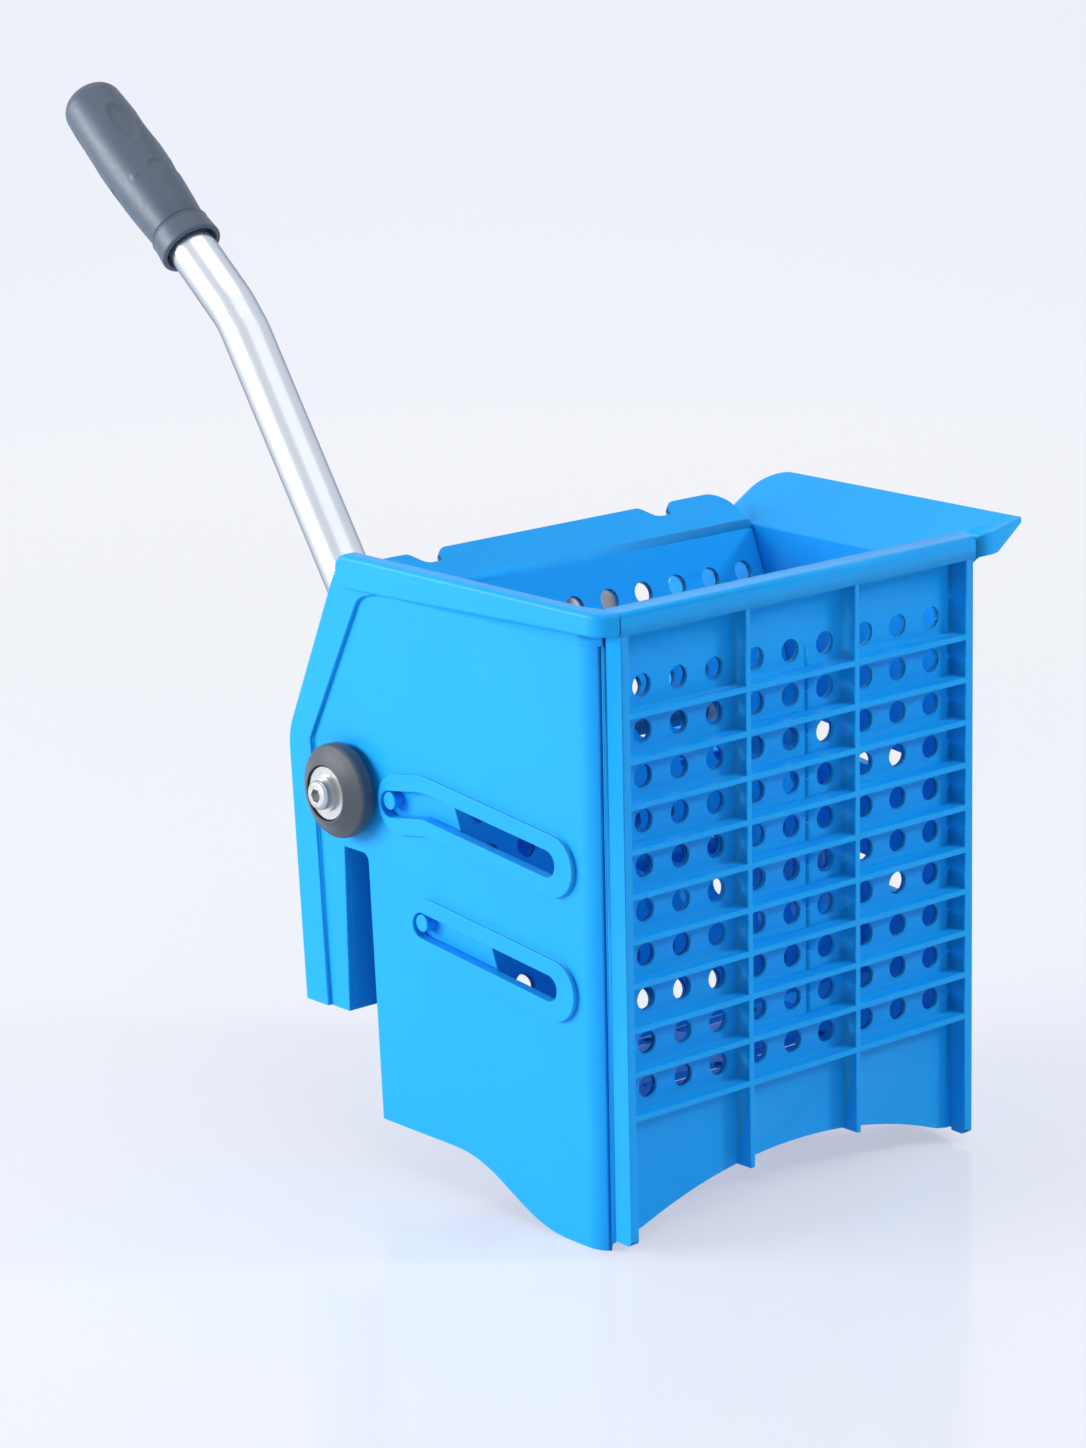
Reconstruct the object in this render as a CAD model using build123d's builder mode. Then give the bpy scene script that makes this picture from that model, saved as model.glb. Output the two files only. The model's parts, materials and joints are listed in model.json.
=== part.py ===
"""Mop wringer: a moulded basket that hooks over a bucket wall, with a lever-driven press plate.

Sizes are in millimetres, +Z is up, -Y is the perforated front and +X the flared side.
The origin is the middle of the seat that hangs on the bucket wall. In the sketches below,
depth is counted from the faces of the front ribs and height from the lower ends of the outer ribs.
"""

import os
from math import atan2, cos, hypot, radians, sin

from build123d import *

# Fits
running = 0.05            # radial clearance of a pin or shaft in its hole
side_play = 0.4           # gap between faces that slide past each other

# Basket walls
basket_half = 137.0       # mid-plane to the outer face of a side panel
wall = 3.5
corner_radius = 17.0
seam_inset = 5.5          # side panel face to the seam with the front grille
foot_drop = 6.0           # near corner foot, below the ends of the outer ribs
far_foot_drop = 1.0
foot_rise = 4.0           # near foot, from the corner to the outer rib
rim_top = 349.0
rim_front = -1.0          # depth of the front rim's face
rim_overhang = 6.5        # near rim, out from the side panel
front_rim_under = 12.5    # rim top to the lower edge of the front rim
strip_under = 20.0        # rim top to the lower edge of the strip below the near rim
strip_proud = 0.9
rim_corner = 15.0
rim_round = 2.8
rim_rear = 225.0          # depth of the near rim's rounded rear end
rim_nose = 9.6

# Front grille
rib_depth = 10.5
rib_wide = 3.7
outer_rib_wide = 5.8
rib_level = 3.6
rib_end_round = 2.8
outer_rib_x = 128.0
inner_rib_x = 40.6
level_ribs = 10
row_pitch = 24.6
top_rib = 292.5
hole_radius = 6.5
hole_pitch = 25.9
hole_bay = 81.8           # middle column of a side bay
arch_half = 117.0
arch_rise = 25.4
arch_foot = 2.4           # level stretch beside the outer ribs
arch_ease = 40.0
parting_line = 0.6        # how far the parting bar stands out
parting_wide = 2.2
parting_x = 11.9

# Side panels
sole_height = 22.6        # lower edge behind the foot
foot_end = 43.0
sole_start = 140.0
body_rear_low = 203.3
hook_front = 209.8
hook_gap = 21.2           # bucket wall thickness that the hook takes, with play
seat_height = 177.5
skirt_low = 80.0
skirt_rear_low = 267.6
rear_knee = (276.0, 237.0)
rear_top = (229.0, 11.0)  # depth, and distance below the rim top
knee_round = 35.0
hook_round = 5.0
band_proud = 2.5
band_wide = 20.0
band_turn = 14.0
frame_proud = 3.0
frame_border = 9.8
upper_slot = 15.0
upper_front = (54.0, 205.0)
upper_bend = (157.0, 216.4)
slot_bend_radius = 30.0
upper_rear = (185.8, 211.8)
lower_slot = 14.6
lower_front = (54.0, 135.4)
lower_rear = (160.4, 147.0)
frame_front_extra = 4.5
frame_rear_short = 7.2

# Flared lip of the far side
flare_crease = 20.0       # rim top down to the fold
flare_reach = 44.0        # edge of the lip past the basket wall
flare_edge_x = basket_half + flare_reach
flare_edge_top = 2.0      # edge of the lip above the rim top
flare_sheet = 3.2
flare_rear = 215.5
flare_round = 17.0
flare_tip = 10.5          # depth of the lip's front corner
cap_run = 9.0             # straight face of the cap past the basket wall
cap_front = basket_half + cap_run
cap_low_reach = 15.0      # lower outer corner of the cap past the basket wall
band_end_low = basket_half + cap_low_reach
cap_round = 2.5

# Rear beam and drain floor
beam_rear = 262.0
beam_rise = 10.5          # top of the beam above the seat
beam_nose = 3.8
beam_lip = 16.0
gusset_pitch = 65.0
floor_top = 42.0
floor_sheet = 4.0
floor_play = 0.3
floor_slot_x = 80.0
floor_slot_y = 20.0
floor_slot_long = 62.0
floor_slot_wide = 9.0
ledge_deep = 5.0

# Press plate
plate_lean = 21.5         # degrees at rest, upright when pressed home
plate_half = 132.8
plate_sheet = 3.5
plate_face = 46.5         # front face ahead of the guide pins
plate_bottom = 93.0       # below the lower pins
plate_fold = 177.0        # above the lower pins
fold_back = 19.0
fold_up = 23.0
cheek_deep = 57.5
cheek_sheet = 4.0
plate_pitch_x = 26.0
plate_columns = 10
plate_rows = 10
plate_top_row = 149.5
notch_near = 93.0
notch_far = 79.0
notch_ramp = 13.2
notch_flat = 6.6
notch_wall = 16.4
notch_deep = 10.4
fold_round = 12.0
fold_corner = 14.0
cheek_taper = 34.0
pin_boss = 5.0
stiffener = 10.0

# Guides
lower_pin = (160.0, 148.6)
pin_spacing = 70.0
upper_pin_radius = 4.5
lower_pin_radius = 5.0
pin_head_radius = 5.1
pin_head = 2.4
cap_spigot = 8.0
cap_spigot_radius = 2.5
press_travel = 62.0
press_slope = 6.4         # degrees that the slots fall towards the front

# Lever
pivot_depth = 224.1
pivot_rise = 36.0         # axle above the seat
lever_swing = 72.0
lever_x = -80.4
lever_lean = 34.0
grip_lean = 51.2
lower_length = 291.0
upper_length = 166.0
bend_radius = 90.0
tube_radius = 14.3
tube_wall = 2.0
tube_in_grip = 109.7      # how far the tube reaches into the grip
grip_start = upper_length - tube_in_grip
grip_length = 130.2
grip_radius = 17.3        # at both ends of the barrel
grip_swell = 2.75         # how much fuller the barrel is at its middle
grip_ring_radius = 19.3
grip_ring = 15.0
grip_end_round = 11.0
grip_groove = 1.2
grip_mouth = 2.0

# Axle, socket and arms
axle_radius = 10.0
axle_bore = 5.0
bush_wall = 3.0
bush_flange = 2.0
hub_wall = 8.0
socket_half = 16.0
socket_length = 64.0
socket_wall = 4.0
socket_gap = 20.5         # axle centre to the tube's lower end
socket_bolt_at = 44.0
socket_bolt_radius = 4.0
arm_reach = 105.0
arm_lean = 3.0            # degrees back from upright at rest
arm_gap = 2.0
arm_sheet = 6.0
arm_hub = 11.0
arm_tip_radius = 12.0
follower_radius = 8.0
follower_stud = 4.0
track_play = 0.5
track_border = 5.5
bracket_sheet = 4.5
bracket_x = 32.3
foot_low = 108.0
foot_high = 170.0
foot_sheet = 3.0
foot_edge = 3.6
screw_inset = 6.0
screw_radius = 2.0
screw_bite = 3.0
screw_head = 2.2
screw_head_radius = 3.6
drive_pin_radius = 2.5
socket_head = 4.6
socket_head_radius = 6.8
socket_nut = 6.5
socket_nut_across = 13.0
clip_sheet = 1.2
clip_radius = 6.8
stud_end = 0.6
stud_length = 8.4         # arm face to the outer side of the clip

# Pivot collars
boss_proud = 4.4
boss_radius = 19.0
boss_inside = 4.0
collar_radius = 27.0
collar_side = 6.8         # straight side, before the edge is rounded
collar_round = 3.0
collar_thick = 13.3
collar_lip = 0.8
collar_recess_radius = 16.0
collar_recess = 3.6
wide_washer_radius = 15.0
wide_washer = 2.4
lock_washer_radius = 10.2
lock_washer = 2.2
bolt_head_radius = 8.6
bolt_head = 5.4
bolt_socket = 7.0
bolt_reach = 26.0

# Values that follow from the sizes above
front_rim_edge = rim_top - front_rim_under
strip_edge = rim_top - strip_under
flare_fold = rim_top - flare_crease
flare_lip = rim_top + flare_edge_top
flare_front = flare_tip + 0.8 * wall
band_top = (rear_top[0], rim_top - rear_top[1])
pivot = (pivot_depth, seat_height + pivot_rise)
seam_x = basket_half - seam_inset
corner_depth = rib_depth + corner_radius
wall_inside = basket_half - wall
front_inside = rib_depth + wall
foot_inner = outer_rib_x - outer_rib_wide / 2
foot_outer = outer_rib_x + outer_rib_wide / 2
hook_rear = hook_front + hook_gap
seat_depth = hook_front + hook_gap / 2
rim_x = basket_half + rim_overhang
frame_face = basket_half + frame_proud
pin_seat = frame_face - pin_head
boss_face = basket_half + boss_proud
beam_top = seat_height + beam_rise
bush_radius = axle_radius + running + bush_wall
axle_half = boss_face + side_play
hub_radius = axle_radius + hub_wall
lean_sin = sin(radians(plate_lean))
lean_cos = cos(radians(plate_lean))

os.makedirs("parts", exist_ok=True)


def across(x):
    """Plane square to X: local x is depth, local y is height."""
    return Plane(origin=(x, -seat_depth, -seat_height), x_dir=(0, 1, 0), z_dir=(1, 0, 0))


def facing(depth):
    """Plane square to Y that looks forward: local x is X, local y is height."""
    return Plane(origin=(0, depth - seat_depth, -seat_height), x_dir=(1, 0, 0), z_dir=(0, -1, 0))


def level(height):
    """Plane square to Z: local x is X, local y is depth."""
    return Plane(origin=(0, -seat_depth, height - seat_height), x_dir=(1, 0, 0), z_dir=(0, 0, 1))


def plate_point(back, up):
    """Depth and height at rest of a point behind and above the lower pins, square to the plate."""
    depth = lower_pin[0] + back * lean_cos + up * lean_sin
    height = lower_pin[1] - back * lean_sin + up * lean_cos
    return depth, height


def plate_side(x):
    """Plane square to X on the lower pins: local x is backward from the plate, local y is up it."""
    origin = (x, lower_pin[0] - seat_depth, lower_pin[1] - seat_height)
    return Plane(origin=origin, x_dir=(0, lean_cos, -lean_sin), z_dir=(1, 0, 0))


def plate_facing(back):
    """Plane parallel to the plate that looks forward: local x is X, local y is up the plate."""
    depth, height = plate_point(back, 0)
    origin = (0, depth - seat_depth, height - seat_height)
    return Plane(origin=origin, x_dir=(1, 0, 0), z_dir=(0, -lean_cos, lean_sin))


def lever_side(x, lean):
    """Plane square to X on the pivot: local y runs up a bar that leans back by lean degrees."""
    back = radians(lean)
    origin = (x, pivot[0] - seat_depth, pivot[1] - seat_height)
    return Plane(origin=origin, x_dir=(0, cos(back), -sin(back)), z_dir=(1, 0, 0))


def follower_in_plate(share):
    """Place of a follower in the plate's own frame, after a share of the lever's swing.

    The plate slides and stands up in proportion to the swing, so this path is the track
    that drives it: arm tip less the moved lower pin, turned back by the lean that is left.
    """
    swing = radians(lever_swing * share - arm_lean)
    slide = press_travel * share
    depth = pivot[0] - arm_reach * sin(swing) - (lower_pin[0] - slide * cos(radians(press_slope)))
    height = pivot[1] + arm_reach * cos(swing) - (lower_pin[1] - slide * sin(radians(press_slope)))
    lean = radians(plate_lean * (1 - share))
    return depth * cos(lean) - height * sin(lean), depth * sin(lean) + height * cos(lean)


upper_path = FilletPolyline(upper_front, upper_bend, upper_rear, radius=slot_bend_radius)
lower_path = Line(lower_front, lower_rear)


def beside_track(share, distance):
    """Point a signed distance to the left of the followers' path."""
    before = follower_in_plate(share - 0.01)
    after = follower_in_plate(share + 0.01)
    step = hypot(after[0] - before[0], after[1] - before[1])
    here = follower_in_plate(share)
    side_u = (before[1] - after[1]) / step
    side_v = (after[0] - before[0]) / step
    return here[0] + distance * side_u, here[1] + distance * side_v


def beyond_track(share, distance):
    """Point a signed distance ahead along the followers' path."""
    before = follower_in_plate(share - 0.01)
    after = follower_in_plate(share + 0.01)
    step = hypot(after[0] - before[0], after[1] - before[1])
    here = follower_in_plate(share)
    return (
        here[0] + distance * (after[0] - before[0]) / step,
        here[1] + distance * (after[1] - before[1]) / step,
    )


def track_outline(radius):
    """Edges of a band along the followers' path: two arcs to a side and round ends."""
    left = [beside_track(step / 4, radius) for step in range(5)]
    right = [beside_track(step / 4, -radius) for step in range(5)]
    return [
        ThreePointArc(left[0], left[1], left[2]),
        ThreePointArc(left[2], left[3], left[4]),
        ThreePointArc(left[4], beyond_track(1, radius), right[4]),
        ThreePointArc(right[4], right[3], right[2]),
        ThreePointArc(right[2], right[1], right[0]),
        ThreePointArc(right[0], beyond_track(0, -radius), left[0]),
    ]


def along(start, end, distance):
    """Point that lies a distance past start, on the line from end to start."""
    length = hypot(start[0] - end[0], start[1] - end[1])
    share = distance / length
    return start[0] + (start[0] - end[0]) * share, start[1] + (start[1] - end[1]) * share


upper_frame = FilletPolyline(
    along(upper_front, upper_bend, frame_front_extra),
    upper_bend,
    along(upper_rear, upper_bend, -frame_rear_short),
    radius=slot_bend_radius,
)
lower_frame = Line(
    along(lower_front, lower_rear, frame_front_extra),
    along(lower_rear, lower_front, -frame_rear_short),
)

# Plan of the basket's front: a ring with rounded corners, cut into the grille and the panels
ring_deep = 4 * corner_radius
with BuildSketch(level(-foot_drop)) as basket_ring:
    with Locations((0, rib_depth + ring_deep / 2)):
        RectangleRounded(2 * basket_half, ring_deep, corner_radius)
        RectangleRounded(2 * wall_inside, ring_deep - 2 * wall, corner_radius - wall, mode=Mode.SUBTRACT)
with BuildSketch(level(strip_edge)) as basket_inside:
    with Locations((0, rib_depth + ring_deep / 2)):
        RectangleRounded(2 * wall_inside, ring_deep - 2 * wall, corner_radius - wall)

# Front grille: wall with rounded ends, ribs, holes, arched lower edge and front rim
with BuildPart() as front_grille:
    extrude(basket_ring.sketch, amount=front_rim_edge + foot_drop)
    with BuildSketch(level(-foot_drop)):
        with Locations((0, corner_depth / 2)):
            Rectangle(2 * seam_x, corner_depth)
    extrude(amount=front_rim_edge + foot_drop, mode=Mode.INTERSECT)
    with BuildSketch(facing(front_inside - wall / 2)):
        with Locations((0, front_rim_edge / 2)):
            with GridLocations(2 * inner_rib_x, 0, 2, 1):
                Rectangle(rib_wide, front_rim_edge)
            with GridLocations(2 * outer_rib_x, 0, 2, 1):
                Rectangle(outer_rib_wide, front_rim_edge)
        with Locations((0, top_rib - row_pitch * (level_ribs - 1) / 2)):
            with GridLocations(0, row_pitch, 1, level_ribs):
                Rectangle(2 * outer_rib_x, rib_level)
    extrude(amount=front_inside - wall / 2)
    with BuildSketch(level(front_rim_edge)):
        with Locations((0, (rim_front + front_inside) / 2)):
            Rectangle(2 * seam_x, front_inside - rim_front)
    extrude(amount=rim_top - front_rim_edge)
    rim_edge = front_grille.edges().filter_by(Axis.X).group_by(Axis.Y)[0].sort_by(Axis.Z)[-1]
    fillet(rim_edge, rim_round)
    with BuildSketch(facing(rib_depth)):
        with Locations((parting_x, top_rib - row_pitch * (level_ribs - 2.5) / 2)):
            Rectangle(parting_wide, row_pitch * (level_ribs - 1.5))
    extrude(amount=parting_line)
    with BuildSketch(facing(front_inside + 1)):
        with Locations((0, top_rib + row_pitch / 2 - row_pitch * (level_ribs - 1) / 2)):
            with GridLocations(hole_bay, row_pitch, 3, level_ribs):
                with GridLocations(hole_pitch, 0, 3, 1):
                    Circle(hole_radius)
    extrude(amount=wall + 2, mode=Mode.SUBTRACT)
    with BuildSketch(facing(corner_depth)) as arch:
        with BuildLine():
            ThreePointArc((-arch_half, arch_foot), (0, arch_rise), (arch_half, arch_foot))
            Polyline(
                (arch_half, arch_foot),
                (foot_inner, arch_foot),
                (foot_outer, -far_foot_drop),
                (seam_x, -far_foot_drop),
                (seam_x, -2 * foot_drop),
                (-seam_x, -2 * foot_drop),
                (-seam_x, -foot_drop),
                (-foot_outer, foot_rise - foot_drop),
                (-foot_inner, arch_foot),
                (-arch_half, arch_foot),
            )
        make_face()
        arch_ends = arch.vertices().sort_by_distance((0, arch_rise))[:2]
        fillet(arch_ends, arch_ease)
    extrude(amount=corner_depth - rib_depth, mode=Mode.SUBTRACT)
    with BuildSketch(facing(rib_depth)):
        with BuildLine():
            ThreePointArc((-arch_half, 0), (0, arch_rise), (arch_half, 0))
            Polyline((arch_half, 0), (arch_half, -2 * foot_drop))
            Polyline((arch_half, -2 * foot_drop), (-arch_half, -2 * foot_drop), (-arch_half, 0))
        make_face()
    extrude(amount=rib_depth - rim_front, mode=Mode.SUBTRACT)
    rib_edges = front_grille.edges().filter_by(Axis.X).group_by(Axis.Z)
    rib_ends = [group for group in rib_edges if abs(group[0].center().Z + seat_height) < parting_line][0]
    fillet(rib_ends.group_by(Axis.Y)[0], rib_end_round)
front_grille.part.label = "front_grille"
export_step(front_grille.part, "parts/front_grille.step")


def panel_body(side, top, foot):
    """Side panel without its rim: corner column, slotted wall, slot frames, rear band and pivot boss."""
    face = side * basket_half
    skirt_corner = (skirt_rear_low, skirt_low)
    band_bend = (rear_top[0] - band_wide, top - wall)
    with BuildPart() as body:
        extrude(basket_ring.sketch, amount=top + foot_drop)
        with BuildSketch(level(-foot)):
            with Locations((side * (seam_x + seam_inset), corner_depth / 2)):
                Rectangle(2 * seam_inset, corner_depth)
        extrude(amount=top + foot, mode=Mode.INTERSECT)
        with BuildSketch(across(face)) as outline:
            with BuildLine():
                Spline((foot_end, -foot), (sole_start, sole_height), tangents=[(1, 0), (1, 0)])
                Polyline(
                    (sole_start, sole_height),
                    (body_rear_low, sole_height),
                    (hook_front, seat_height),
                    (hook_rear, seat_height),
                    (hook_rear, skirt_low),
                    skirt_corner,
                    rear_knee,
                    band_top,
                    (rear_top[0], top),
                    (corner_depth, top),
                    (corner_depth, -foot),
                    (foot_end, -foot),
                )
            make_face()
            fillet(outline.vertices().sort_by_distance(rear_knee)[0], knee_round)
            fillet(outline.vertices().sort_by_distance((hook_front, seat_height))[0], hook_round)
        extrude(amount=-side * wall)
        with BuildSketch(across(face)) as band:
            with BuildLine():
                Polyline(
                    skirt_corner,
                    rear_knee,
                    band_top,
                    (rear_top[0] - band_wide - band_turn, top),
                    band_bend,
                    (rear_knee[0] - band_wide, rear_knee[1]),
                    (skirt_corner[0] - band_wide, skirt_low),
                    close=True,
                )
            make_face()
            fillet(band.vertices().sort_by_distance(rear_knee)[0], knee_round)
            fillet(band.vertices().sort_by_distance(band_bend)[0], band_turn)
        extrude(amount=side * band_proud)
        with BuildSketch(across(face)):
            SlotArc(upper_frame, upper_slot + 2 * frame_border)
            SlotArc(lower_frame, lower_slot + 2 * frame_border)
        extrude(amount=side * frame_proud)
        with BuildSketch(across(side * (wall_inside - boss_inside))):
            with Locations(pivot):
                Circle(boss_radius)
        extrude(amount=side * (boss_face - wall_inside + boss_inside))
        with BuildSketch(across(side * (wall_inside - ledge_deep))):
            with Locations(((corner_depth + body_rear_low) / 2, floor_top - floor_sheet - wall / 2)):
                Rectangle(body_rear_low - corner_depth, wall)
        extrude(amount=side * ledge_deep)
        with BuildSketch(across(side * (wall_inside - 1))):
            SlotArc(upper_path, upper_slot)
            SlotArc(lower_path, lower_slot)
        extrude(amount=side * (frame_face - wall_inside + 2), mode=Mode.SUBTRACT)
        with BuildSketch(across(side * (wall_inside - boss_inside))):
            with Locations(pivot):
                Circle(bush_radius)
        extrude(amount=side * (boss_face - wall_inside + boss_inside), mode=Mode.SUBTRACT)
    return body.part


near_body = panel_body(-1, strip_edge, foot_drop)
far_body = panel_body(1, flare_fold, far_foot_drop)

def roll_under(depth):
    """Height of the near rim's lower edge, which falls from the front rim's to the strip's."""
    share = (depth - rim_front) / (rim_rear - rim_front)
    return front_rim_edge + (strip_edge - front_rim_edge) * share


# Near side panel: rolled rim that turns the front corner and ends in a round nose at the rear
with BuildPart() as near_rim:
    with BuildSketch(level(strip_edge)) as rim_turn:
        with Locations((-rim_x / 2, (rim_front + corner_depth) / 2)):
            Rectangle(rim_x, corner_depth - rim_front)
        fillet(rim_turn.vertices().sort_by_distance((-rim_x, rim_front))[0], rim_corner)
        with Locations((-seam_x / 2, (rim_front + corner_depth) / 2)):
            Rectangle(seam_x, corner_depth - rim_front, mode=Mode.SUBTRACT)
    extrude(amount=rim_top - strip_edge)
    with BuildSketch(across(-rim_x)):
        with BuildLine():
            Polyline(
                (rim_front - wall, strip_edge - wall),
                (rim_front - wall, roll_under(rim_front - wall)),
                (corner_depth, roll_under(corner_depth)),
                (corner_depth, strip_edge - wall),
                close=True,
            )
        make_face()
    extrude(amount=rim_x, mode=Mode.SUBTRACT)
    with BuildSketch(across(-rim_x)) as rim_run:
        with BuildLine():
            Polyline(
                (corner_depth, roll_under(corner_depth)),
                (rim_rear, strip_edge),
                (rim_rear, rim_top),
                (corner_depth, rim_top),
                close=True,
            )
        make_face()
        fillet(rim_run.vertices().group_by(Axis.X)[-1], rim_nose)
    extrude(amount=rim_x - wall_inside)
    extrude(basket_inside.sketch, amount=rim_top - strip_edge, mode=Mode.SUBTRACT)
    roll_edges = near_rim.edges().filter_by(lambda edge: edge.center().X < -basket_half)
    roll_edges = roll_edges.filter_by(Axis.X, reverse=True)
    corner_line = roll_edges.filter_by(Axis.Z).sort_by(Axis.Y)[0]
    fillet([edge for edge in roll_edges if not edge.is_same(corner_line)], rim_round)

# Strip below the rolled rim, a little proud of the wall
with BuildPart() as near_strip:
    with BuildSketch(level(strip_edge)):
        with Locations((0, rib_depth + ring_deep / 2)):
            strip_deep = ring_deep + 2 * strip_proud
            RectangleRounded(2 * (basket_half + strip_proud), strip_deep, corner_radius + strip_proud)
        with Locations((-seam_x - seam_inset, corner_depth / 2)):
            Rectangle(2 * seam_inset, corner_depth, mode=Mode.INTERSECT)
        strip_rear = rim_rear - rim_nose
        with Locations((-(basket_half + strip_proud + wall_inside) / 2, (corner_depth + strip_rear) / 2)):
            Rectangle(strip_proud + wall, strip_rear - corner_depth)
    extrude(amount=front_rim_edge + rim_round - strip_edge)
    extrude(basket_inside.sketch, amount=rim_top - strip_edge, mode=Mode.SUBTRACT)

with BuildPart() as near_side_panel:
    add(near_body)
    add(near_strip.part)
    add(near_rim.part)
near_side_panel.part.label = "near_side_panel"
export_step(near_side_panel.part, "parts/near_side_panel.step")

# Far side panel: the wall opens into a sloped lip with rounded corners
with BuildPart() as flare:
    with BuildSketch(facing(flare_rear)):
        with BuildLine():
            Polyline(
                (wall_inside, flare_fold - wall),
                (wall_inside, flare_fold),
                (flare_edge_x, flare_lip),
                (flare_edge_x, flare_lip - flare_sheet),
                (basket_half, flare_fold - wall),
                close=True,
            )
        make_face()
    extrude(amount=flare_rear - flare_front)
    with BuildSketch(level(flare_fold - 2 * wall)) as flare_plan:
        with BuildLine():
            Polyline(
                (wall_inside, flare_front),
                (flare_edge_x, flare_front),
                (flare_edge_x, flare_rear),
                (wall_inside, flare_rear - 2 * wall),
                close=True,
            )
        make_face()
        fillet(flare_plan.vertices().sort_by_distance((flare_edge_x, flare_rear))[0], flare_round)
    extrude(amount=flare_lip - flare_fold + 2 * wall, mode=Mode.INTERSECT)

# Cap that closes the lip's front end, from the front rim out to the tip
with BuildPart() as flare_cap:
    with BuildSketch(facing(corner_depth)):
        with BuildLine():
            Polyline(
                (seam_x, front_rim_edge),
                (band_end_low, front_rim_edge),
                (flare_edge_x, flare_lip - flare_sheet),
                (flare_edge_x, flare_lip),
                (seam_x, rim_top),
                close=True,
            )
        make_face()
    extrude(amount=corner_depth - rim_front)
    with BuildSketch(level(flare_fold)) as cap_plan:
        with BuildLine():
            Polyline(
                (seam_x, rim_front),
                (cap_front, rim_front),
                (flare_edge_x, flare_tip),
                (flare_edge_x, flare_tip + wall),
                (seam_x, front_inside),
                close=True,
            )
        make_face()
        fillet(cap_plan.vertices().sort_by_distance((flare_edge_x, flare_tip))[0], cap_round)
    extrude(amount=flare_lip - flare_fold, mode=Mode.INTERSECT)

with BuildPart() as far_side_panel:
    add(far_body)
    add(flare.part)
    add(flare_cap.part)
    with BuildSketch(level(flare_fold - wall)):
        with Locations((seam_x + seam_inset / 2, (flare_tip + corner_depth) / 2)):
            Rectangle(seam_inset, corner_depth - flare_tip)
    extrude(amount=front_rim_edge - flare_fold + wall)
    extrude(basket_inside.sketch, amount=rim_top - strip_edge, mode=Mode.SUBTRACT)
far_side_panel.part.label = "far_side_panel"
export_step(far_side_panel.part, "parts/far_side_panel.step")

# Rear beam: hook seat and skirt across the back, stiffened by a top flange and gussets
with BuildPart() as rear_beam:
    with BuildSketch(across(-wall_inside)):
        with BuildLine():
            Polyline(
                (hook_front - beam_nose, seat_height),
                (hook_rear, seat_height),
                (hook_rear, skirt_low),
                (hook_rear + wall, skirt_low),
                (hook_rear + wall, beam_top - wall),
                (beam_rear - wall, beam_top - wall),
                (beam_rear - wall, beam_top - beam_lip),
                (beam_rear, beam_top - beam_lip),
                (beam_rear, beam_top),
                (hook_rear, beam_top),
                (hook_rear, seat_height + wall),
                (hook_front, seat_height + wall),
                (hook_front, beam_top),
                (hook_front - beam_nose, beam_top),
                close=True,
            )
        make_face()
    extrude(amount=2 * wall_inside)
    for gusset_x in (-gusset_pitch, 0, gusset_pitch):
        with BuildSketch(across(gusset_x - wall / 2)):
            with BuildLine():
                Polyline(
                    (hook_rear + wall / 2, beam_top - wall / 2),
                    (beam_rear - wall / 2, beam_top - wall / 2),
                    (beam_rear - wall / 2, beam_top - beam_lip),
                    (hook_rear + wall / 2, skirt_low + gusset_pitch / 2),
                    close=True,
                )
            make_face()
        extrude(amount=wall)
rear_beam.part.label = "rear_beam"
export_step(rear_beam.part, "parts/rear_beam.step")

# Drain floor: slotted plate on the panels' ledges
with BuildPart() as drain_floor:
    with BuildSketch(level(floor_top - floor_sheet)):
        with Locations((0, (front_inside + body_rear_low) / 2)):
            RectangleRounded(
                2 * (wall_inside - floor_play),
                body_rear_low - front_inside - 2 * floor_play,
                corner_radius,
            )
            with GridLocations(floor_slot_x, floor_slot_y, 3, 8):
                SlotOverall(floor_slot_long, floor_slot_wide, mode=Mode.SUBTRACT)
    extrude(amount=floor_sheet)
drain_floor.part.label = "drain_floor"
export_step(drain_floor.part, "parts/drain_floor.step")

# Pivot bushes: flanged sleeves in the panel bosses
for side, name in ((-1, "near"), (1, "far")):
    with BuildPart() as pivot_bush:
        with BuildSketch(across(side * (wall_inside - boss_inside))):
            with Locations(pivot):
                Circle(bush_radius)
        extrude(amount=side * (boss_face - wall_inside + boss_inside))
        with BuildSketch(across(side * (wall_inside - boss_inside - bush_flange))):
            with Locations(pivot):
                Circle(bush_radius + bush_wall)
        extrude(amount=side * bush_flange)
        with BuildSketch(across(side * (wall_inside - boss_inside - bush_flange))):
            with Locations(pivot):
                Circle(axle_radius + running)
        extrude(amount=side * (boss_face - wall_inside + boss_inside + bush_flange), mode=Mode.SUBTRACT)
    pivot_bush.part.label = f"pivot_bush_{name}"
    export_step(pivot_bush.part, f"parts/pivot_bush_{name}.step")

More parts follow.
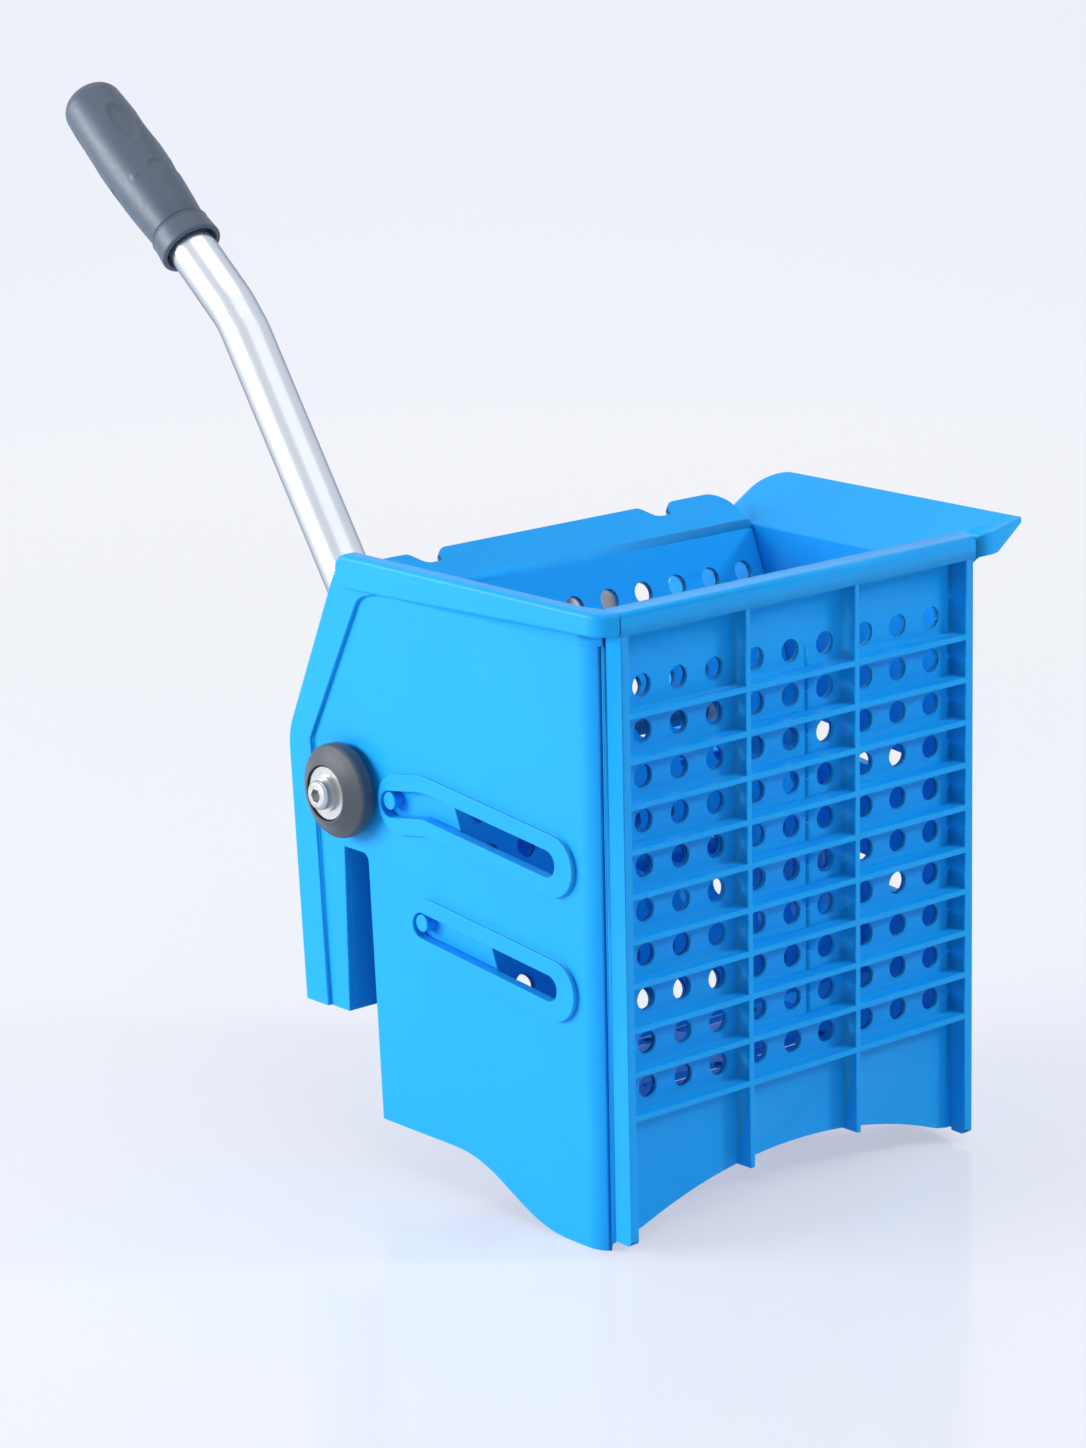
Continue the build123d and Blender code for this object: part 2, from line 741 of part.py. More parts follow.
# Press plate: perforated sheet with a folded, notched top edge and a cheek at each side
fold_length = hypot(fold_back, fold_up)
fold_top = (fold_back - plate_face, plate_fold + fold_up)
fold_depth, fold_height = plate_point(*fold_top)
fold_lean = radians(plate_lean) + atan2(fold_back, fold_up)
fold_plane = Plane(
    origin=(0, fold_depth - seat_depth, fold_height - seat_height),
    x_dir=(1, 0, 0),
    z_dir=(0, -cos(fold_lean), sin(fold_lean)),
)
screw_heights = (foot_low + screw_inset, foot_high - screw_inset)
screw_x = bracket_x - bracket_sheet - screw_head_radius - 2 * side_play
with BuildPart() as press_plate:
    with BuildSketch(plate_side(-plate_half)):
        with BuildLine():
            FilletPolyline(
                (-plate_face, -plate_bottom),
                (-plate_face, plate_fold),
                fold_top,
                radius=fold_round,
            )
            offset(amount=plate_sheet, side=Side.RIGHT)
        make_face()
    extrude(amount=2 * plate_half)
    with BuildSketch(fold_plane) as fold_corners:
        with Locations((0, -fold_length / 2)):
            Rectangle(2 * plate_half + 2, fold_length)
        with Locations((0, -fold_length)):
            RectangleRounded(2 * plate_half, 2 * fold_length, fold_corner, mode=Mode.SUBTRACT)
        for notch in (-notch_near, notch_far):
            with BuildLine():
                Spline((notch - notch_ramp, 0), (notch, -notch_deep), tangents=[(1, -0.3), (1, 0)])
                Line((notch, -notch_deep), (notch + notch_flat, -notch_deep))
                TangentArc((notch + notch_flat, -notch_deep), (notch + notch_wall, 0), tangent=(0, 1))
                Line((notch + notch_wall, 0), (notch - notch_ramp, 0))
            make_face()
    extrude(amount=-2 * plate_sheet, both=True, mode=Mode.SUBTRACT)
    for side in (-1, 1):
        with BuildSketch(plate_side(side * (plate_half - cheek_sheet))) as cheek:
            with BuildLine():
                Polyline(
                    (-plate_face, -plate_bottom),
                    (cheek_deep - plate_face - cheek_taper, -plate_bottom),
                    (cheek_deep - plate_face, 0),
                    (cheek_deep - plate_face, pin_spacing),
                    (-plate_face + plate_sheet, plate_fold),
                    (-plate_face, plate_fold - plate_sheet),
                    close=True,
                )
            make_face()
        extrude(amount=side * cheek_sheet)
        with BuildSketch(plate_side(side * (plate_half - cheek_sheet - pin_boss))):
            with Locations((0, 0), (0, pin_spacing)):
                Circle(lower_pin_radius + pin_boss)
        extrude(amount=side * pin_boss)
        with BuildSketch(plate_side(side * (plate_half - cheek_sheet - pin_boss))):
            Circle(lower_pin_radius + running)
            with Locations((0, pin_spacing)):
                Circle(upper_pin_radius + running)
        extrude(amount=side * (cheek_sheet + pin_boss), mode=Mode.SUBTRACT)
    with BuildSketch(plate_facing(plate_sheet - plate_face)):
        with Locations((0, plate_top_row - row_pitch * (plate_rows - 1) / 2)):
            with GridLocations(plate_pitch_x, row_pitch, plate_columns, plate_rows):
                Circle(hole_radius)
    extrude(amount=plate_sheet, mode=Mode.SUBTRACT)
    with BuildSketch(plate_facing(plate_sheet - plate_face)):
        with Locations(*[(sign * screw_x, up) for sign in (-1, 1) for up in screw_heights]):
            Circle(screw_radius)
    extrude(amount=screw_bite, mode=Mode.SUBTRACT)
    with BuildSketch(plate_facing(plate_sheet - plate_face + stiffener)):
        for step in (6, 8):
            with Locations((0, plate_top_row - row_pitch * (step + 0.5))):
                Rectangle(2 * (plate_half - cheek_sheet), plate_sheet)
    extrude(amount=stiffener)
press_plate.part.label = "press_plate"
export_step(press_plate.part, "parts/press_plate.step")

# Guide pins that ride in the upper slots, each with a flat round head flush with the slot frame
for side, name in ((-1, "near"), (1, "far")):
    with BuildPart() as upper_guide_pin:
        with BuildSketch(plate_side(side * (plate_half - cheek_sheet - pin_boss))):
            with Locations((0, pin_spacing)):
                Circle(upper_pin_radius)
        extrude(amount=side * (pin_seat - plate_half + cheek_sheet + pin_boss))
        with BuildSketch(plate_side(side * pin_seat)):
            with Locations((0, pin_spacing)):
                Circle(pin_head_radius)
        extrude(amount=side * pin_head)
        round_edges = upper_guide_pin.edges().filter_by(GeomType.CIRCLE).sort_by(Axis.X)
        fillet(round_edges[-1 if side > 0 else 0], pin_head / 3)
    upper_guide_pin.part.label = f"upper_guide_pin_{name}"
    export_step(upper_guide_pin.part, f"parts/upper_guide_pin_{name}.step")

# Lower guide rod: the plate tips on it, and a pressed cap closes each end
with BuildPart() as lower_guide_rod:
    with BuildSketch(plate_side(-pin_seat)):
        Circle(lower_pin_radius)
    extrude(amount=2 * pin_seat)
    for side in (-1, 1):
        with BuildSketch(plate_side(side * pin_seat)):
            Circle(cap_spigot_radius + running)
        extrude(amount=-side * (cap_spigot + side_play), mode=Mode.SUBTRACT)
lower_guide_rod.part.label = "lower_guide_rod"
export_step(lower_guide_rod.part, "parts/lower_guide_rod.step")

for side, name in ((-1, "near"), (1, "far")):
    with BuildPart() as lower_rod_cap:
        with BuildSketch(plate_side(side * pin_seat)):
            Circle(lower_pin_radius)
        extrude(amount=side * pin_head)
        cap_edge = lower_rod_cap.edges().filter_by(GeomType.CIRCLE).sort_by(Axis.X)[-1 if side > 0 else 0]
        fillet(cap_edge, pin_head / 3)
        with BuildSketch(plate_side(side * pin_seat)):
            Circle(cap_spigot_radius)
        extrude(amount=-side * cap_spigot)
    lower_rod_cap.part.label = f"lower_rod_cap_{name}"
    export_step(lower_rod_cap.part, f"parts/lower_rod_cap_{name}.step")

# Track brackets on the back of the plate: a slot along the followers' path and a screwed foot
foot_back = plate_sheet - plate_face
track_slot = track_outline(follower_radius + track_play)
track_rim = track_outline(follower_radius + track_play + track_border)
for side, name in ((-1, "near"), (1, "far")):
    with BuildPart() as track_bracket:
        with BuildSketch(plate_side(side * (bracket_x - bracket_sheet))):
            with BuildLine():
                add(track_rim)
            make_face()
        extrude(amount=side * bracket_sheet)
        with BuildSketch(plate_side(side * (bracket_x - bracket_sheet))):
            with BuildLine():
                Polyline(
                    (foot_back, foot_low),
                    follower_in_plate(1),
                    follower_in_plate(0),
                    (foot_back, foot_high),
                    close=True,
                )
            make_face()
        extrude(amount=side * bracket_sheet)
        with BuildSketch(plate_side(side * (bracket_x - bracket_sheet))):
            with BuildLine():
                add(track_slot)
            make_face()
        extrude(amount=side * bracket_sheet, mode=Mode.SUBTRACT)
        with BuildSketch(plate_side(side * (screw_x - foot_edge))):
            with Locations((foot_back + foot_sheet / 2, (foot_low + foot_high) / 2)):
                Rectangle(foot_sheet, foot_high - foot_low)
        extrude(amount=side * (bracket_x - screw_x + foot_edge))
        with BuildSketch(plate_facing(foot_back + foot_sheet)):
            with Locations(*[(side * screw_x, up) for up in screw_heights]):
                Circle(screw_radius)
        extrude(amount=foot_sheet, mode=Mode.SUBTRACT)
    track_bracket.part.label = f"track_bracket_{name}"
    export_step(track_bracket.part, f"parts/track_bracket_{name}.step")

# Bracket screws: pan heads behind the feet
with BuildPart() as bracket_screws:
    with BuildSketch(plate_facing(foot_back + foot_sheet)):
        with Locations(*[(sign * screw_x, up) for sign in (-1, 1) for up in screw_heights]):
            Circle(screw_radius - running)
    extrude(amount=foot_sheet + screw_bite - running)
    with BuildSketch(plate_facing(foot_back + foot_sheet + screw_head)):
        with Locations(*[(sign * screw_x, up) for sign in (-1, 1) for up in screw_heights]):
            Circle(screw_head_radius)
    extrude(amount=screw_head)
bracket_screws.part.label = "bracket_screws"
export_step(bracket_screws.part, "parts/bracket_screws.step")


def up_bar(x, lean, start, distance):
    """Plane square to a leaning bar, a distance up it from a point given as depth and height."""
    back = radians(lean)
    depth = start[0] + distance * sin(back) - seat_depth
    height = start[1] + distance * cos(back) - seat_height
    return Plane(origin=(x, depth, height), x_dir=(1, 0, 0), z_dir=(0, sin(back), cos(back)))


def square_to_bar(x, lean, distance):
    """Plane that holds the axle's line, square to a pin through a hub, a distance behind the axle."""
    back = radians(lean)
    depth = pivot[0] + distance * cos(back) - seat_depth
    height = pivot[1] - distance * sin(back) - seat_height
    return Plane(origin=(x, depth, height), x_dir=(1, 0, 0), z_dir=(0, -cos(back), sin(back)))


lever_bend = (
    pivot[0] + lower_length * sin(radians(lever_lean)),
    pivot[1] + lower_length * cos(radians(lever_lean)),
)
arm_inner = bracket_x + arm_gap
arm_pin_x = arm_inner + (arm_sheet + arm_hub) / 2
drive_pin_places = ((lever_x, lever_lean), (-arm_pin_x, arm_lean), (arm_pin_x, arm_lean))

# Lever axle: hollow shaft across the housing, drilled for the drive pins
with BuildPart() as lever_axle:
    with BuildSketch(across(-axle_half)):
        with Locations(pivot):
            Circle(axle_radius)
            Circle(axle_bore, mode=Mode.SUBTRACT)
    extrude(amount=2 * axle_half)
    for pin_x, pin_lean in drive_pin_places:
        with BuildSketch(square_to_bar(pin_x, pin_lean, hub_radius)):
            Circle(drive_pin_radius + running)
        extrude(amount=2 * hub_radius, mode=Mode.SUBTRACT)
lever_axle.part.label = "lever_axle"
export_step(lever_axle.part, "parts/lever_axle.step")

# Lever socket: hub on the axle with a sleeve for the tube
with BuildPart() as lever_socket:
    with BuildSketch(across(lever_x - socket_half)):
        with Locations(pivot):
            Circle(hub_radius)
    extrude(amount=2 * socket_half)
    with BuildSketch(up_bar(lever_x, lever_lean, pivot, 0)):
        Circle(tube_radius + running + socket_wall)
    extrude(amount=socket_length)
    with BuildSketch(up_bar(lever_x, lever_lean, pivot, socket_gap)):
        Circle(tube_radius + running)
    extrude(amount=socket_length, mode=Mode.SUBTRACT)
    with BuildSketch(across(lever_x - 2 * socket_half)):
        with Locations(pivot):
            Circle(axle_radius + running)
    extrude(amount=4 * socket_half, mode=Mode.SUBTRACT)
    with BuildSketch(lever_side(lever_x - 2 * socket_half, lever_lean)):
        with Locations((0, socket_bolt_at)):
            Circle(socket_bolt_radius + running)
    extrude(amount=4 * socket_half, mode=Mode.SUBTRACT)
    with BuildSketch(square_to_bar(lever_x, lever_lean, hub_radius)):
        Circle(drive_pin_radius + running)
    extrude(amount=2 * hub_radius, mode=Mode.SUBTRACT)
lever_socket.part.label = "lever_socket"
export_step(lever_socket.part, "parts/lever_socket.step")

# Lever tube: one gentle bend below the grip
with BuildPart() as lever_tube:
    with BuildLine(across(lever_x)) as tube_line:
        FilletPolyline(
            (
                pivot[0] + socket_gap * sin(radians(lever_lean)),
                pivot[1] + socket_gap * cos(radians(lever_lean)),
            ),
            lever_bend,
            (
                lever_bend[0] + upper_length * sin(radians(grip_lean)),
                lever_bend[1] + upper_length * cos(radians(grip_lean)),
            ),
            radius=bend_radius,
        )
    with BuildSketch(up_bar(lever_x, lever_lean, pivot, socket_gap)):
        Circle(tube_radius)
        Circle(tube_radius - tube_wall, mode=Mode.SUBTRACT)
    sweep(path=tube_line.line)
    with BuildSketch(lever_side(lever_x - 2 * socket_half, lever_lean)):
        with Locations((0, socket_bolt_at)):
            Circle(socket_bolt_radius + running)
    extrude(amount=4 * socket_half, mode=Mode.SUBTRACT)
lever_tube.part.label = "lever_tube"
export_step(lever_tube.part, "parts/lever_tube.step")

# Lever grip: barrelled sleeve with a ring at the mouth, a neck groove and a rounded end
grip_base = up_bar(lever_x, grip_lean, lever_bend, grip_start)
barrel_start = grip_ring + grip_groove
with BuildPart() as lever_grip:
    with BuildSketch(Plane(origin=grip_base.origin, x_dir=(1, 0, 0), z_dir=-grip_base.y_dir)):
        with BuildLine():
            Polyline(
                (grip_radius, grip_length),
                (0, grip_length),
                (0, 0),
                (grip_ring_radius, 0),
                (grip_ring_radius, grip_ring),
                (grip_radius - grip_groove, grip_ring),
                (grip_radius - grip_groove, barrel_start),
                (grip_radius, barrel_start),
            )
            ThreePointArc(
                (grip_radius, barrel_start),
                (grip_radius + grip_swell, (barrel_start + grip_length) / 2),
                (grip_radius, grip_length),
            )
        make_face()
    revolve(axis=Axis(grip_base.origin, grip_base.z_dir))
    end_circle = lever_grip.edges().filter_by(GeomType.CIRCLE).sort_by(Axis.Z)[-1]
    fillet(end_circle, grip_end_round)
    with BuildSketch(up_bar(lever_x, grip_lean, lever_bend, grip_start)):
        Circle(tube_radius + running)
    extrude(amount=upper_length - grip_start + side_play, mode=Mode.SUBTRACT)
    with BuildSketch(up_bar(lever_x, grip_lean, lever_bend, grip_start)):
        Circle(tube_radius + grip_mouth)
    extrude(amount=2 * grip_mouth, mode=Mode.SUBTRACT)
lever_grip.part.label = "lever_grip"
export_step(lever_grip.part, "parts/lever_grip.step")

# Socket bolt: domed head on the inner side, tip past the nut on the outer side
socket_side = tube_radius + running + socket_wall
with BuildPart() as socket_bolt:
    with BuildSketch(lever_side(lever_x - socket_side - socket_nut - stud_end, lever_lean)):
        with Locations((0, socket_bolt_at)):
            Circle(socket_bolt_radius)
    extrude(amount=2 * socket_side + socket_nut + stud_end)
    with BuildSketch(lever_side(lever_x + socket_side, lever_lean)):
        with Locations((0, socket_bolt_at)):
            Circle(socket_head_radius)
    extrude(amount=socket_head)
    dome_edge = socket_bolt.edges().filter_by(GeomType.CIRCLE).sort_by(Axis.X)[-1]
    fillet(dome_edge, socket_head / 2)
socket_bolt.part.label = "socket_bolt"
export_step(socket_bolt.part, "parts/socket_bolt.step")

with BuildPart() as socket_nut_part:
    with BuildSketch(lever_side(lever_x - socket_side, lever_lean)):
        with Locations((0, socket_bolt_at)):
            RegularPolygon(socket_nut_across / 2, 6, major_radius=False)
            Circle(socket_bolt_radius + running, mode=Mode.SUBTRACT)
    extrude(amount=-socket_nut)
socket_nut_part.part.label = "socket_nut"
export_step(socket_nut_part.part, "parts/socket_nut.step")

# Push arms: tapered bars on the axle, each with a stud for its follower
for side, name in ((-1, "near"), (1, "far")):
    with BuildPart() as push_arm:
        with BuildSketch(lever_side(side * arm_inner, arm_lean)):
            Circle(hub_radius)
            with Locations((0, arm_reach)):
                Circle(arm_tip_radius)
            make_hull()
        extrude(amount=side * arm_sheet)
        with BuildSketch(lever_side(side * arm_inner, arm_lean)):
            Circle(hub_radius)
        extrude(amount=side * arm_hub)
        with BuildSketch(lever_side(side * arm_inner, arm_lean)):
            with Locations((0, arm_reach)):
                Circle(follower_stud)
        extrude(amount=-side * (stud_length + stud_end))
        with BuildSketch(lever_side(side * arm_inner, arm_lean)):
            Circle(axle_radius + running)
        extrude(amount=side * arm_hub, mode=Mode.SUBTRACT)
        with BuildSketch(square_to_bar(side * arm_pin_x, arm_lean, hub_radius)):
            Circle(drive_pin_radius + running)
        extrude(amount=2 * hub_radius, mode=Mode.SUBTRACT)
    push_arm.part.label = f"push_arm_{name}"
    export_step(push_arm.part, f"parts/push_arm_{name}.step")

    with BuildPart() as follower:
        with BuildSketch(lever_side(side * (arm_inner - running), arm_lean)):
            with Locations((0, arm_reach)):
                Circle(follower_radius)
                Circle(follower_stud + running, mode=Mode.SUBTRACT)
        extrude(amount=-side * (stud_length - clip_sheet - 2 * running))
    follower.part.label = f"follower_{name}"
    export_step(follower.part, f"parts/follower_{name}.step")

# Follower clips: spring rings at the stud ends
with BuildPart() as follower_clips:
    for side in (-1, 1):
        with BuildSketch(lever_side(side * (arm_inner - stud_length + clip_sheet), arm_lean)):
            with Locations((0, arm_reach)):
                Circle(clip_radius)
                Circle(follower_stud + running, mode=Mode.SUBTRACT)
        extrude(amount=-side * clip_sheet)
follower_clips.part.label = "follower_clips"
export_step(follower_clips.part, "parts/follower_clips.step")

# Drive pins: lock the socket and the arms to the axle
with BuildPart() as drive_pins:
    for pin_x, pin_lean in drive_pin_places:
        with BuildSketch(square_to_bar(pin_x, pin_lean, hub_radius - stud_end)):
            Circle(drive_pin_radius)
        extrude(amount=2 * (hub_radius - stud_end))
drive_pins.part.label = "drive_pins"
export_step(drive_pins.part, "parts/drive_pins.step")

# Pivot collars with their washers and bolts, outside the side panels
collar_seat = axle_half + collar_thick - collar_recess
for side, name in ((-1, "near"), (1, "far")):
    outermost = -1 if side > 0 else 0
    collar_base = (side * axle_half, pivot[0] - seat_depth, pivot[1] - seat_height)
    with BuildPart() as pivot_collar:
        with BuildSketch(Plane(origin=collar_base, x_dir=(side, 0, 0), z_dir=(0, -side, 0))) as section:
            with BuildLine():
                Polyline(
                    (0, axle_bore + running),
                    (0, collar_radius),
                    (collar_side, collar_radius),
                    (collar_thick, collar_recess_radius + collar_lip),
                    (collar_thick, collar_recess_radius),
                    (collar_thick - collar_recess, collar_recess_radius),
                    (collar_thick - collar_recess, axle_bore + running),
                    close=True,
                )
            make_face()
            fillet(section.vertices().sort_by_distance((collar_side, collar_radius))[0], collar_round)
        revolve(axis=Axis(collar_base, (1, 0, 0)))
    pivot_collar.part.label = f"pivot_collar_{name}"
    export_step(pivot_collar.part, f"parts/pivot_collar_{name}.step")

    with BuildPart() as collar_washer:
        with BuildSketch(across(side * collar_seat)):
            with Locations(pivot):
                Circle(wide_washer_radius)
                Circle(axle_bore + running, mode=Mode.SUBTRACT)
        extrude(amount=side * wide_washer)
    collar_washer.part.label = f"collar_washer_{name}"
    export_step(collar_washer.part, f"parts/collar_washer_{name}.step")

    with BuildPart() as lock_washer_part:
        with BuildSketch(across(side * (collar_seat + wide_washer))):
            with Locations(pivot):
                Circle(lock_washer_radius)
                Circle(axle_bore + running, mode=Mode.SUBTRACT)
        extrude(amount=side * lock_washer)
    lock_washer_part.part.label = f"lock_washer_{name}"
    export_step(lock_washer_part.part, f"parts/lock_washer_{name}.step")

    head_seat = collar_seat + wide_washer + lock_washer
    with BuildPart() as pivot_bolt:
        with BuildSketch(across(side * head_seat)):
            with Locations(pivot):
                Circle(bolt_head_radius)
        extrude(amount=side * bolt_head)
        head_edge = pivot_bolt.edges().filter_by(GeomType.CIRCLE).sort_by(Axis.X)[outermost]
        fillet(head_edge, bolt_head / 2)
        with BuildSketch(across(side * head_seat)):
            with Locations(pivot):
                Circle(axle_bore - running)
        extrude(amount=-side * (head_seat - axle_half + bolt_reach))
        with BuildSketch(across(side * (head_seat + bolt_head))):
            with Locations(pivot):
                RegularPolygon(bolt_socket / 2, 6, major_radius=False)
        extrude(amount=-side * bolt_head * 0.7, mode=Mode.SUBTRACT)
    pivot_bolt.part.label = f"pivot_bolt_{name}"
    export_step(pivot_bolt.part, f"parts/pivot_bolt_{name}.step")
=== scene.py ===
"""The looks of a moulded mop wringer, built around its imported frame. Lengths are metres."""

import json
from math import cos, pi, radians, sin

import bmesh
import bpy
import numpy as np
from mathutils import Matrix, Vector

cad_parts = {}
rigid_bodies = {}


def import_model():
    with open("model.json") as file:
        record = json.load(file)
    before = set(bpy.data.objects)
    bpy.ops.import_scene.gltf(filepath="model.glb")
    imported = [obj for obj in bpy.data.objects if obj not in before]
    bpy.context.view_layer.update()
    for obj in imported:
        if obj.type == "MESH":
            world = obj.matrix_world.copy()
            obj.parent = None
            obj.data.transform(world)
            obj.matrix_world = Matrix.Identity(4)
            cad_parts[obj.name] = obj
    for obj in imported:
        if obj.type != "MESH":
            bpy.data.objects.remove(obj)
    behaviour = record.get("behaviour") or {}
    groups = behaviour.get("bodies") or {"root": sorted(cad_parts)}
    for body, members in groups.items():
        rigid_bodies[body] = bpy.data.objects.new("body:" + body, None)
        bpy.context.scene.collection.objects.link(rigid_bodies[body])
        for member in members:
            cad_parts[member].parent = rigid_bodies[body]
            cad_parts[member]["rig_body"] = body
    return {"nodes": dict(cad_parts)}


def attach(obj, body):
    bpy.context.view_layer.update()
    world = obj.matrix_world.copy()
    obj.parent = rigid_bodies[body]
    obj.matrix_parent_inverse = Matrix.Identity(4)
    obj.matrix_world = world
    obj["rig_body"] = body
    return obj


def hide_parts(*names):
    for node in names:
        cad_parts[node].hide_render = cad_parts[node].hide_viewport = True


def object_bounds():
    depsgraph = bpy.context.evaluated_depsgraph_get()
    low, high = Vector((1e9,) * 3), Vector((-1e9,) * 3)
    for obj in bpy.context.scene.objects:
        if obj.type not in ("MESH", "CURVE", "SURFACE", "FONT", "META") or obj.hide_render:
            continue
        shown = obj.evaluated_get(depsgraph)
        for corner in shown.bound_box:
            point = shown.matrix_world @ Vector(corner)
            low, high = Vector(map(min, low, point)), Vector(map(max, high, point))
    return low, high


for thing in list(bpy.data.objects):
    bpy.data.objects.remove(thing)

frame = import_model()
nodes = frame["nodes"]
cad_box = [list(corner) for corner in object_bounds()]

MM = 0.001

# The lever's own lines, in the plane of its tube: depth and height of a point, and leans from upright.
LEVER_X = -80.4 * MM
PIVOT = np.array((3.7, 36.0)) * MM
LOWER_LEAN = radians(34.0)
UPPER_LEAN = radians(51.2)
LOWER_WAY = np.array((sin(LOWER_LEAN), cos(LOWER_LEAN)))
UPPER_WAY = np.array((sin(UPPER_LEAN), cos(UPPER_LEAN)))
TUBE_START = 20.5 * MM
TUBE_BEND = 291.0 * MM
TUBE_END = 166.0 * MM
BEND_RADIUS = 90.0 * MM
TUBE_RADIUS = 14.3 * MM
TUBE_BORE = 12.3 * MM
BEND = PIVOT + TUBE_BEND * LOWER_WAY
BEND_OVAL = 0.05  # share by which the bend is pressed flatter
TUBE_SIDES, STRAIGHT_RINGS, BEND_RINGS = 64, 30, 26

# The grip, from its mouth: lengths up the tube and radii.
GRIP_START = 56.3 * MM
GRIP_LENGTH = 130.2 * MM
GRIP_RADIUS = 17.3 * MM
GRIP_SWELL = 2.75 * MM
GRIP_ROUND = 11.0 * MM
BARREL_START = 16.8 * MM
GRIP_BORE = 14.35 * MM
BORE_END = 110.1 * MM
GRIP_SIDES, BARREL_RINGS, DOME_RINGS = 144, 190, 16

# The grip's ring in millimetres, length and radius: from the neck groove over the bead into the mouth.
GRIP_RING = (
    (16.5, 17.2), (16.3, 16.8), (15.7, 16.7), (15.3, 16.9), (15.1, 17.8), (14.8, 18.3), (14.4, 18.5),
    (14.0, 18.45), (13.7, 18.25), (13.3, 18.2), (12.6, 18.25), (9.0, 18.6), (5.0, 18.95), (2.2, 19.2),
    (1.2, 19.25), (0.5, 19.05), (0.1, 18.6), (0.0, 18.2), (0.0, 16.9), (0.15, 16.5), (0.5, 16.3), (4.0, 16.3),
)

# Dents and one nub in the grip: degrees round it, then in millimetres the distance from its top, the half
# length, the half width and the depth.
DENT_EASE = 0.3  # share of a dent's reach over which it eases out
GRIP_OVALS = (
    (257.0, 40.0, 17.0, 6.2, -1.5),
    (147.0, 36.0, 18.0, 6.2, -1.2),
    (320.0, 44.0, 15.0, 6.0, -0.8),
    (45.0, 40.0, 17.0, 6.2, -0.8),
    (260.0, 78.0, 4.8, 3.9, -1.0),
    (146.0, 75.0, 9.0, 5.0, -1.2),
    (314.0, 77.0, 7.0, 4.6, -1.0),
    (45.0, 76.0, 8.0, 4.6, -0.8),
    (218.0, 78.0, 2.6, 2.6, 0.5),
)


def linear(hex_colour):
    """sRGB hex to linear light: c / 12.92 below 0.04045, else ((c + 0.055) / 1.055) to the power 2.4."""
    srgb = np.array([int(hex_colour[i : i + 2], 16) for i in (1, 3, 5)]) / 255
    light = np.where(srgb <= 0.04045, srgb / 12.92, ((srgb + 0.055) / 1.055) ** 2.4)
    return (*light.tolist(), 1.0)


def add(surface, kind, sockets, **settings):
    """Adds one node with its settings. A socket takes a number, a colour, or the output that feeds it."""
    made = surface.node_tree.nodes.new("ShaderNode" + kind)
    for name, value in settings.items():
        setattr(made, name, value)
    for name, value in sockets.items():
        if isinstance(value, bpy.types.NodeSocket):
            surface.node_tree.links.new(value, made.inputs[name])
        else:
            made.inputs[name].default_value = value
    return made


def fresh(name):
    """An empty material or stage finish, ready for its nodes."""
    surface = bpy.data.materials.new(name)
    surface.use_nodes = True
    surface.node_tree.nodes.clear()
    return surface


def per(size_mm):
    """Noise scale at which one blotch is about that many millimetres wide."""
    return 1000.0 / size_mm


def blue_polypropylene():
    """Polypropylene, injection moulded and coloured in the mass, off a finely etched steel mould.

    It gives the eye one even bright blue with a satin gloss, slow drifts of tone where the melt flowed,
    and a faint etched grain. The grain is about 0.2 mm in life and is drawn 1.6 mm wide so that it shows.
    """
    skin = fresh("polypropylene_moulded_blue")
    where = add(skin, "TexCoord", {}).outputs["Object"]
    flow = add(skin, "TexNoise", {"Vector": where, "Scale": per(70), "Detail": 3.0, "Roughness": 0.45})
    grain = add(skin, "TexNoise", {"Vector": where, "Scale": per(1.6), "Detail": 2.0, "Roughness": 0.6})
    wave = add(skin, "TexNoise", {"Vector": where, "Scale": per(26), "Detail": 1.0, "Roughness": 0.4})
    tone = add(
        skin,
        "Mix",
        {0: flow.outputs["Fac"], 6: linear("#14A2F4"), 7: linear("#1CAAF9")},
        data_type="RGBA",
    )
    gloss = add(
        skin,
        "MapRange",
        {"Value": grain.outputs["Fac"], "From Min": 0.25, "From Max": 0.75, "To Min": 0.34, "To Max": 0.44},
    )
    ripple = add(skin, "Bump", {"Height": wave.outputs["Fac"], "Strength": 0.4, "Distance": 0.05 * MM})
    etch = add(
        skin,
        "Bump",
        {
            "Height": grain.outputs["Fac"],
            "Strength": 0.5,
            "Distance": 0.012 * MM,
            "Normal": ripple.outputs["Normal"],
        },
    )
    shader = add(
        skin,
        "BsdfPrincipled",
        {
            "Base Color": tone.outputs[2],
            "Roughness": gloss.outputs["Result"],
            "Normal": etch.outputs["Normal"],
            "IOR": 1.49,
            "Specular IOR Level": 0.18,
        },
    )
    add(skin, "OutputMaterial", {"Surface": shader.outputs["BSDF"]})
    return skin


def grey_vinyl():
    """Soft vinyl, slush moulded: slate grey with a low sheen and a faint orange-peel skin about 3 mm wide."""
    skin = fresh("soft_vinyl_moulded_grey")
    where = add(skin, "TexCoord", {}).outputs["Object"]
    drift = add(skin, "TexNoise", {"Vector": where, "Scale": per(28), "Detail": 3.0, "Roughness": 0.5})
    peel = add(skin, "TexNoise", {"Vector": where, "Scale": per(3), "Detail": 2.0, "Roughness": 0.5})
    tone = add(
        skin,
        "Mix",
        {0: drift.outputs["Fac"], 6: linear("#425061"), 7: linear("#4F5C6F")},
        data_type="RGBA",
    )
    gloss = add(
        skin,
        "MapRange",
        {"Value": peel.outputs["Fac"], "From Min": 0.25, "From Max": 0.75, "To Min": 0.42, "To Max": 0.52},
    )
    skin_bump = add(skin, "Bump", {"Height": peel.outputs["Fac"], "Strength": 0.5, "Distance": 0.03 * MM})
    shader = add(
        skin,
        "BsdfPrincipled",
        {
            "Base Color": tone.outputs[2],
            "Roughness": gloss.outputs["Result"],
            "Normal": skin_bump.outputs["Normal"],
            "IOR": 1.53,
        },
    )
    add(skin, "OutputMaterial", {"Surface": shader.outputs["BSDF"]})
    return skin


